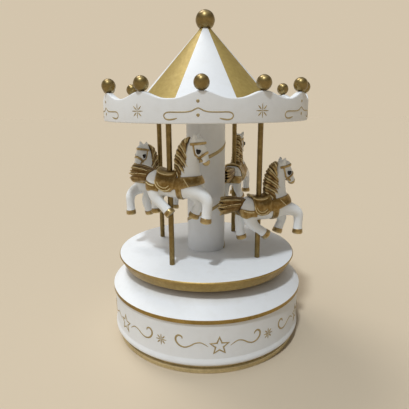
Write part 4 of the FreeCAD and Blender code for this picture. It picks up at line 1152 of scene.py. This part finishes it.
# %% Drawing the skin
def draw_skin(field):
    """One point in each cell that the zero surface crosses, one face across each crossed edge."""
    inside = field < 0
    size = np.array(field.shape) - 1
    unit = np.eye(3, dtype=int)
    count = np.zeros(size, np.int8)
    for i, j, k in np.ndindex(2, 2, 2):
        count += inside[i:i + size[0], j:j + size[1], k:k + size[2]]
    cells = np.argwhere((count > 0) & (count < 8))
    number = np.full(size, -1, np.int64)
    number[tuple(cells.T)] = np.arange(len(cells))
    total, crossings = np.zeros((len(cells), 3)), np.zeros(len(cells))
    for corner in np.ndindex(2, 2, 2):
        for axis in range(3):
            if corner[axis]:
                continue
            start = field[tuple((cells + corner).T)]
            end = field[tuple((cells + corner + unit[axis]).T)]
            crossed = (start < 0) != (end < 0)
            spot = (cells + corner).astype(float)
            spot[:, axis] += start / np.where(crossed, start - end, 1)
            total[crossed] += spot[crossed]
            crossings += crossed
    faces = []
    for axis in range(3):
        one, two = unit[(axis + 1) % 3], unit[(axis + 2) % 3]
        near, far = (inside[tuple(slice(k, n + k) if m == axis else slice(1, n)
                                  for m, n in enumerate(size))] for k in (0, 1))
        edges = np.argwhere(near != far) + one + two
        ring = np.stack([number[tuple((edges - shift).T)]
                         for shift in (one + two, two, 0 * one, one)], axis=1)
        leaving = inside[tuple(edges.T)]
        faces.append(np.where(leaving[:, None], ring, ring[:, ::-1]))
    return total / crossings[:, None], np.vstack(faces)


print("skin tool ready")

# %% Settling the skin
FLATTEST, LONGEST_STEP = 0.02, 0.6


def taste(field, points):
    """Values of a field at points in grid steps, blended between the grid's own."""
    low = np.clip(points.astype(int), 0, np.array(field.shape) - 2)
    share = points - low
    value = np.zeros(len(points))
    for corner in np.ndindex(2, 2, 2):
        weight = np.prod(np.where(corner, share, 1 - share), axis=1)
        value += weight * field[tuple((low + corner).T)]
    return value


def settle(field, points, faces, rounds=5):
    """Spreads the points evenly over the surface, and puts them back on it each time."""
    pairs = np.vstack([faces[:, [k, (k + 1) % 4]] for k in range(4)])
    share = np.bincount(pairs.ravel(), minlength=len(points))
    slopes = np.gradient(field)
    for _ in range(rounds):
        mean = np.stack([np.bincount(pairs[:, 0], points[pairs[:, 1], axis], len(points))
                         + np.bincount(pairs[:, 1], points[pairs[:, 0], axis], len(points))
                         for axis in range(3)], 1)
        points = 0.4 * points + 0.6 * mean / share[:, None]
        slope = np.stack([taste(side, points) for side in slopes], 1)
        step = taste(field, points) / np.maximum((slope ** 2).sum(1), FLATTEST)
        points = points - np.clip(slope * step[:, None], -LONGEST_STEP, LONGEST_STEP)
    return points


print("settling tool ready")

# %% [markdown]
# ## Hollows
# A casting is painted, dipped in a dark wash and wiped. The wash stays where the clay crowds
# round a point, and goes from what stands free. On the white body the darker hollows are painted
# shade as well as wash. So the field is blurred: a point on a flat surface has half of the room
# near it filled, a point in a groove more, and one on a ridge less.

# %% Hollows
HOLLOW_GAIN = 2.6


def blurred(field, reach):
    """How much of the room near each grid point is filled."""
    solid = np.clip(0.5 - field / (1.5 * GRID), 0, 1)
    for axis in (0, 0, 1, 1, 2, 2):
        pad = [(reach + 1, reach) if k == axis else (0, 0) for k in range(3)]
        total = np.cumsum(np.pad(solid, pad), axis=axis, dtype=np.float32)
        size = solid.shape[axis]
        solid = (np.take(total, np.arange(size) + 2 * reach + 1, axis)
                 - np.take(total, np.arange(size), axis)) / (2 * reach + 1)
    return solid


def clay_mesh(field, crowd):
    """Points in millimetres, faces, and how hollow each point lies."""
    field = mended(field)
    points, faces = drop_crumbs(*draw_skin(field))
    points = settle(field, points, faces)
    hollow = HOLLOW_GAIN * (taste(crowd, points) - 0.5)
    return points * GRID + np.array(CLAY_LOW), faces, hollow


print("hollow measure ready")

# %% [markdown]
# ## The horse
# All four horses are one casting, set at different heights and headings. It faces +X with its
# pole on the Z axis and its saddle at height zero. The body is made first: barrel, neck, head and
# legs. The legs are stout, as on the real thing, because thin ones would break out of a mould.

# %% Barrel, neck and head
body = fresh_clay()
BARREL = [(-9.0, 0, -5.2, 3.2, 3.0), (-7.8, 0, -5.6, 4.6, 4.2), (-5.0, 0, -6.5, 5.9, 5.2),
          (0, 0, -7.1, 6.2, 5.3), (6.5, 0, -6.9, 6.3, 5.2), (11.5, 0, -5.6, 5.7, 4.6),
          (14.4, 0, -4.8, 4.3, 3.7)]
NECK = [(10.0, 0, -3.5, 6.3, 4.2), (10.2, 0, 2.0, 5.5, 3.4), (10.5, 0, 7.0, 4.7, 2.9),
        (11.7, 0, 11.2, 4.1, 2.65), (13.0, 0, 14.2, 3.6, 2.5)]
HEAD = [(14.0, 0, 15.0, 3.0, 2.5), (15.4, 0, 13.2, 3.1, 2.5), (16.9, 0, 10.8, 2.6, 2.05),
        (18.2, 0, 8.5, 2.0, 1.7), (18.9, 0, 7.2, 1.85, 1.7)]
EARS = [(13.2, 1.6, 16.2, 1.25, 1.05), (13.2, 2.1, 17.6, 1.25, 1.0), (13.3, 2.4, 18.5, 0.9, 0.75),
        (13.4, 2.6, 19.3, 0.4, 0.36)]
limb(body, BARREL, 0)
limb(body, NECK, 2.2)
limb(body, HEAD, 0.8)
lumps(body, (14.6, 1.2, 11.9), (2.4, 1.4, 2.9), 0.9, 28)                # cheeks
lump(body, (18.9, 0, 6.7), (1.8, 1.7, 1.5), 0.6, -35)                   # muzzle
lumps(body, (19.4, 0.9, 7.5), (0.8, 0.6, 0.7), 0.4)                     # rims of the nostrils
lumps(body, (16.5, 1.85, 13.3), (1.2, 0.55, 0.42), 0.4, -35)            # brows
lumps(body, (20.1, 1.0, 7.3), (0.34, 0.4, 0.42), 0.2, carve=True)       # nostrils
lump(body, (19.8, 0, 5.85), (1.7, 2.6, 0.2), 0.25, -32, carve=True)     # mouth
lump(body, (12.2, 0, 16.4), (2.3, 1.9, 1.5), 0.8, 12)                   # poll
lump(body, (16.1, 0, 16.5), (1.9, 1.5, 1.2), 0.7, -25)                  # forelock
limbs(body, EARS, 0.6)
lumps(body, (14.2, 2.35, 17.8), (0.55, 0.5, 1.1), 0.3, 8, carve=True)   # hollows of the ears
lumps(body, (-5.9, 2.9, -6.7), (4.7, 2.5, 5.2), 1.5, 12)                # haunches
lumps(body, (9.6, 2.6, -6.2), (4.3, 2.4, 5.4), 1.5, -18)                # shoulders
lump(body, (13.6, 0, -5.4), (2.9, 3.5, 3.9), 1.6)                       # chest
print("body points inside:", int((body < 0).sum()))

# %% Legs
LEGS = {
    "right_front": [(9.5, -2.6, -7.0, 4.1, 3.2), (14.5, -3.1, -7.5, 3.9, 3.1),
                    (19.3, -3.2, -8.8, 3.2, 2.7), (22.2, -3.2, -11.2, 2.8, 2.5),
                    (22.7, -3.2, -14.6, 2.45, 2.3), (22.6, -3.2, -17.8, 2.4, 2.25),
                    (22.6, -3.2, -19.7, 2.55, 2.4)],
    "left_front": [(9.0, 2.6, -8.0, 3.9, 3.1), (12.8, 3.1, -10.8, 3.4, 2.9),
                   (15.5, 3.2, -13.3, 2.9, 2.6), (15.8, 3.2, -15.9, 2.5, 2.3),
                   (14.7, 3.2, -18.6, 2.35, 2.2), (14.0, 3.2, -20.4, 2.5, 2.35)],
    "right_hind": [(-5.8, -2.8, -6.7, 4.5, 3.0), (-6.3, -3.4, -10.3, 4.0, 2.9),
                   (-5.4, -3.5, -13.6, 3.2, 2.6), (-3.0, -3.5, -16.2, 2.6, 2.35),
                   (-0.2, -3.5, -18.3, 2.35, 2.2), (1.8, -3.5, -19.9, 2.5, 2.35)],
    "left_hind": [(-6.2, 2.8, -6.7, 4.5, 3.0), (-7.6, 3.4, -10.5, 4.0, 2.9),
                  (-8.8, 3.5, -14.2, 3.1, 2.6), (-9.1, 3.5, -17.2, 2.5, 2.3),
                  (-8.7, 3.5, -20.2, 2.35, 2.2), (-8.4, 3.5, -21.9, 2.5, 2.35)],
}
for knots in LEGS.values():
    limb(body, knots, 1.3)
print("with legs:", int((body < 0).sum()))

# %% [markdown]
# ## Hooves
# Hooves are short flared cones with a flat sole and softened edges. A cone with a cut end is a
# simple rule of two distances, along the leg and aside from it, so no limb is needed.

# %% Hooves
HOOF_ENDS = {"right_front": (22.5, -3.2, -22.4), "left_front": (13.2, 3.2, -22.9),
             "right_hind": (3.9, -3.5, -21.5), "left_hind": (-7.9, 3.5, -24.3)}
HOOF_TOP, HOOF_FLARE, HOOF_EDGE, HOOF_OVERLAP, HOOF_ROOM = 2.6, 0.35, 0.7, 0.1, 3
hooves = fresh_clay()
for leg, knots in LEGS.items():
    top, end = np.array(knots[-1][:3]), np.array(HOOF_ENDS[leg])
    top = top - HOOF_OVERLAP * (end - top)
    length = float(np.linalg.norm(end - top))
    run = (end - top) / length
    cut, x, y, z = window(np.minimum(top, end) - HOOF_ROOM, np.maximum(top, end) + HOOF_ROOM,
                          LIMB_MARGIN)
    px, py, pz = x - top[0], y - top[1], z - top[2]
    along = px * run[0] + py * run[1] + pz * run[2]
    aside = np.sqrt(np.maximum(px ** 2 + py ** 2 + pz ** 2 - along ** 2, 0))
    cone = soft_max(aside - (HOOF_TOP + HOOF_FLARE * along / length),
                    np.abs(along - length / 2) - length / 2, HOOF_EDGE)
    hooves[cut] = np.minimum(hooves[cut], cone.astype(np.float32))
print("hoof points inside:", int((hooves < 0).sum()))

# %% [markdown]
# ## Mane and tail
# Both are built from locks: each is a thin tapering limb, and the narrow valleys between them
# hold the dark colour. A few slim strands are cream. On the tail they run along the upper edge,
# cream paint and a painted highlight at once. The locks' small differences come from fixed rules
# and not from chance, so that every run gives the same horse.

# %% Mane
hair, strands = fresh_clay(), fresh_clay()
CREST = smooth_chain([(9.9, 17.0, 0.5), (8.5, 15.7, 1.3), (6.7, 12.8, 2.0), (5.4, 9.0, 2.25),
                      (4.7, 5.4, 2.05), (4.4, 2.6, 1.4), (4.2, 0.6, 0.7)], 6)
LOCKS = 15
ROOT = 0.85    # where a lock starts, as a share of the crest's radius
SLIM = 0.66    # a cream strand's thickness, as a share of a lock's
limb(hair, [(x, 0, z, 0.9 * r, 0.7 + 0.62 * r) for x, z, r in CREST[::3]], 0.3, 3)
down = np.gradient(CREST[:, :2], axis=0)
down /= np.linalg.norm(down, axis=1)[:, None]
for side in (1, -1):
    for k in range(LOCKS):
        spot = round((k + 0.5) / LOCKS * (len(CREST) - 1))
        (x, z, r), (along_x, along_z) = CREST[spot], down[spot]
        reach = 1.0 + 0.14 * math.sin(2.1 * k + 0.6 * side)
        lock, slim = (strands, SLIM) if k % 3 == 1 else (hair, 1.0)
        knots = [(x + ROOT * r * along_z, side * 0.5, z - ROOT * r * along_x,
                  0.6 * slim, 0.6 * slim)]
        for across, fall, thick in ((-0.45, 0.5, 0.74), (0.55, 1.2, 0.78), (1.6, 2.2, 0.68),
                                    (2.6 * reach, 3.5, 0.24)):
            px = x - across * r * along_z + fall * along_x
            pz = z + across * r * along_x + fall * along_z
            base = max(abs(on_surface(field, px, pz, side)) for field in (hair, body))
            knots.append((px, side * (base + 0.1), pz, slim * thick, slim * thick))
        limb(lock, knots, 0.15)
print("mane points inside:", int((hair < 0).sum()))

# %% Tail
TAIL_ROWS = 8
# Tail rows whose cream strands lie along the upper edge: cream paint and painted highlight.
CREAM_HIGHLIGHT_ROWS = (0, 4)
STRAND = 0.24
for side in (-1, 0, 1):
    for k in range(TAIL_ROWS):
        f = (k + 0.3 * abs(side)) / (TAIL_ROWS - 0.7)
        edge = abs(2 * f - 1)
        lift = 0.45 * math.sin(2.3 * k + 1.3 * side)
        spread = side * (1.0 - 0.35 * edge)
        knots = [(-8.0, 1.6 * side, -2.4 - 2.6 * f, 1.4, 1.3),
                 (-11.4, 2.3 * spread, -1.7 - 4.2 * f + 0.4 * lift, 1.35, 1.25),
                 (-15.6, 2.3 * spread, -0.9 - 6.0 * f + lift, 1.2, 1.1),
                 (-19.6, 1.9 * spread, -0.6 - 7.4 * f + lift, 0.95, 0.85),
                 (-22.6 + 1.2 * edge + 0.4 * lift, 1.3 * spread, -0.4 - 8.2 * f + 1.4 * lift,
                  0.3, 0.3)]
        limb(hair, knots, 0.2)
        if side and k in CREAM_HIGHLIGHT_ROWS:
            limb(strands, [(x, y + 0.95 * wide * side, z + 0.6 * tall, STRAND, STRAND)
                           for x, y, z, tall, wide in knots[1:]], 0)
print("hair points inside:", int((hair < 0).sum()), "strands", int((strands < 0).sum()))

# %% [markdown]
# ## Harness
# Saddle, breast strap, flank strap and girth are layers over the body, cut by an outline in the
# side view, so that they follow its form. The bridle is made of narrow straps round the head in
# the same way. Cream piping runs along the edges of the saddle: thin limbs laid on the surface.
# Along the top of the seat and across the cantle it is a painted highlight as well as piping.

# %% Saddle and straps
SADDLE = [(-5.2, 1.5), (5.2, 1.5), (5.6, -3.0), (5.2, -7.6), (3.4, -9.6), (0.0, -10.3),
          (-3.0, -9.0), (-4.9, -6.0)]
SEAT = [(-5.2, 0, 0.2, 0.8, 3.3), (-4.0, 0, -0.4, 1.0, 4.2), (-1.5, 0, -1.0, 1.15, 4.7),
        (1.5, 0, -1.0, 1.15, 4.5), (3.8, 0, -0.3, 1.05, 3.3), (5.0, 0, 0.5, 0.8, 1.8)]
# Breast strap, flank strap, girth and collar: an outline, and how far each stands proud.
STRAPS = [
    ([(4.6, -2.6), (8.0, -1.5), (13.0, -0.6), (19.5, 0.2), (19.5, -3.6), (13.6, -5.2),
      (10.0, -6.8), (4.6, -8.2)], 0.4),
    ([(-12.0, -5.6), (-7.0, -6.5), (-3.0, -6.6), (-3.0, -10.4), (-6.4, -9.9), (-9.2, -10.9),
      (-12.6, -10.2)], 0.35),
    ([(6.0, -6.2), (9.4, -5.6), (9.8, -12.6), (8.9, -15.5), (6.7, -15.5)], 0.35),
    ([(5.9, 2.6), (7.6, 2.9), (8.4, -3.4), (6.6, -3.6)], 0.3),
]
tack = np.minimum(fresh_clay(), layer(body, SADDLE, 0.62, 0.5))
for corners, proud in STRAPS:
    tack = soft_min(tack, layer(body, corners, proud, 0.35), 0.15)
limb(tack, SEAT, 0.8)
print("saddle points inside:", int((tack < 0).sum()))

# %% Bridle
STRAP_PROUD = 0.32
# Each strap: two points of the side view, and half its width.
HEAD_STRAPS = [((11.0, 14.5), (18.9, 16.0), 0.65), ((12.6, 15.2), (14.2, 9.7), 0.45),
               ((15.2, 7.7), (20.4, 12.2), 0.6), ((14.2, 9.7), (17.2, 7.4), 0.45)]
LIPS = [(16.4, 5.8), (17.9, 6.2), (19.6, 7.1), (20.7, 8.3), (22.4, 8.0), (22.4, 3.5), (16.4, 3.5)]
RING = (17.3, 7.35)
for one, two, half in HEAD_STRAPS:
    run = np.array(two, float) - np.array(one, float)
    aside = np.array((-run[1], run[0])) / np.linalg.norm(run) * half
    corners = [one + aside, two + aside, two - aside, one - aside]
    tack = np.minimum(tack, layer(body, corners, STRAP_PROUD, 0.25, 0.5))
tack = np.minimum(tack, layer(body, LIPS, 0.12, 0.15, 0.5))
body_and_tack = np.minimum(body, tack)
for side in (1, -1):
    lump(tack, (RING[0], on_surface(body, *RING, side), RING[1]), (0.85, 0.45, 0.85), 0.1)
print("harness points inside:", int((tack < 0).sum()))

# %% Piping
PIPING_RADIUS, PIPING_LIFT, CANTLE_RADIUS = 0.27, 0.04, 0.3
PIPING = [
    [(-4.9, -4.6), (-4.3, -6.6), (-2.8, -8.3), (-0.6, -9.3), (1.8, -9.0), (3.6, -7.6)],
    [(-3.6, -5.2), (-2.6, -6.8), (-0.8, -7.8), (1.2, -7.6), (2.6, -6.4)],
    # Along the top of the seat: piping and a painted highlight.
    [(-5.0, 0.0), (-3.4, -0.9), (-1.0, -1.3), (1.4, -1.3), (3.4, -0.9)],
    [(10.2, -2.0), (11.8, -3.6), (13.4, -5.2)],
    [(-10.4, -6.6), (-8.0, -7.3), (-5.4, -7.4)],
]
piping = fresh_clay()
for course in PIPING:
    chain = smooth_chain(course, 4)
    for side in (1, -1):
        limb(piping, [(x, on_surface(body_and_tack, x, z, side) + PIPING_LIFT * side, z,
                       PIPING_RADIUS, PIPING_RADIUS) for x, z in chain], 0, 2)
# Across the cantle: piping and a painted highlight.
limb(piping, [(-5.5 + 0.04 * y * y, y, 0.95 - 0.075 * y * y, CANTLE_RADIUS, CANTLE_RADIUS)
              for y in np.linspace(-3.4, 3.4, 9)], 0, 3)
print("piping points inside:", int((piping < 0).sum()))

# %% [markdown]
# ## Eyes
# The eyes are large and black, painted on a low bulge of the head. A flat spot of paint would do
# from afar. Three small lumps give each eye its rounded corners and a gloss of its own.

# %% Eyes
EYE = (16.0, 11.6)
# Each lump: how far forward and up from the eye's middle, and its size.
EYE_LUMPS = [(0.0, -0.1, (1.1, 0.55, 1.15)), (-0.55, 0.5, (0.8, 0.5, 0.75)),
             (0.6, 0.45, (0.75, 0.5, 0.75))]
eyes = fresh_clay()
for side in (1, -1):
    out = on_surface(body, *EYE, side)
    lump(body, (EYE[0], out + 0.1 * side, EYE[1]), (1.7, 0.5, 1.5), 0.3, -30)
    for ahead, rise, size in EYE_LUMPS:
        x, z = EYE[0] + ahead, EYE[1] + rise
        lump(eyes, (x, on_surface(body, x, z, side) - 0.05 * side, z), size, 0.15, -20)
print("eye points inside:", int((eyes < 0).sum()))

# %% [markdown]
# ## One horse from its fields
# Each paint is a closed shell of its own: white body, gold hooves, gold harness, gold hair, cream
# piping and black eyes. Two blurs of the whole horse, a wide and a narrow one, drive the dark
# wash in the hollows, which on the white body is also painted shade, and the rubbed ridges.

# %% Horse shells
BLURS = ((0.45, 3), (0.55, 1))  # each blur: its share, and its reach in grid steps
everything = np.minimum.reduce([body, hooves, hair, strands, tack])
crowd = sum(share * blurred(everything, reach) for share, reach in BLURS)
SHELLS = [(body, "horse_resin"), (hooves, "tack_gold"), (tack, "tack_gold"), (hair, "hair_gold"),
          (piping, "cream_piping"), (strands, "cream_piping"), (eyes, "eye_black")]
horse_finishes = list(dict.fromkeys(finish for field, finish in SHELLS))
horse_points, horse_faces, horse_hollow, horse_paint = [], [], [], []
for field, finish in SHELLS:
    points, faces, hollow = clay_mesh(field, crowd)
    horse_faces.append(faces + sum(map(len, horse_points)))
    horse_points.append(points)
    horse_hollow.append(hollow)
    horse_paint += [horse_finishes.index(finish)] * len(faces)
    print(finish, len(faces), "faces")
horse_points, horse_faces = np.vstack(horse_points), np.vstack(horse_faces)
horse_hollow = np.concatenate(horse_hollow)

# %% [markdown]
# ## Four horses
# The casting is copied to each pole with the heading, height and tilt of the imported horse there.
# Each copy's place goes into its mesh, so that every object stays at the origin.

# %% Four horses
POLE_CIRCLE, FIRST_POLE = 33.4, 57.0
# Each horse: the number of its pole, its heading, the height of its saddle and its tilt.
HORSES = {"back_right": (0, 72.0, 93.5, 0.0), "back_left": (1, 232.0, 90.2, 0.0),
          "front_left": (2, 338.0, 98.6, 5.0), "front_right": (3, 17.0, 83.4, 0.0)}
for corner, (number, heading, saddle, tilt) in HORSES.items():
    angle = math.radians(FIRST_POLE + 90 * number)
    pole = (POLE_CIRCLE * math.cos(angle), POLE_CIRCLE * math.sin(angle), saddle)
    place = (Matrix.Translation(pole) @ Matrix.Rotation(math.radians(heading), 4, "Z")
             @ Matrix.Rotation(math.radians(tilt), 4, "Y"))
    turn, move = np.array(place.to_3x3()), np.array(place.translation)
    horse = make_piece("painted_horse_" + corner, horse_points @ turn.T + move, horse_faces,
                       [paint[finish] for finish in horse_finishes], horse_paint, horse_hollow)
    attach(horse, "carousel")
    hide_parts("horse_" + corner)
print("horse triangles:", 2 * len(horse_faces))
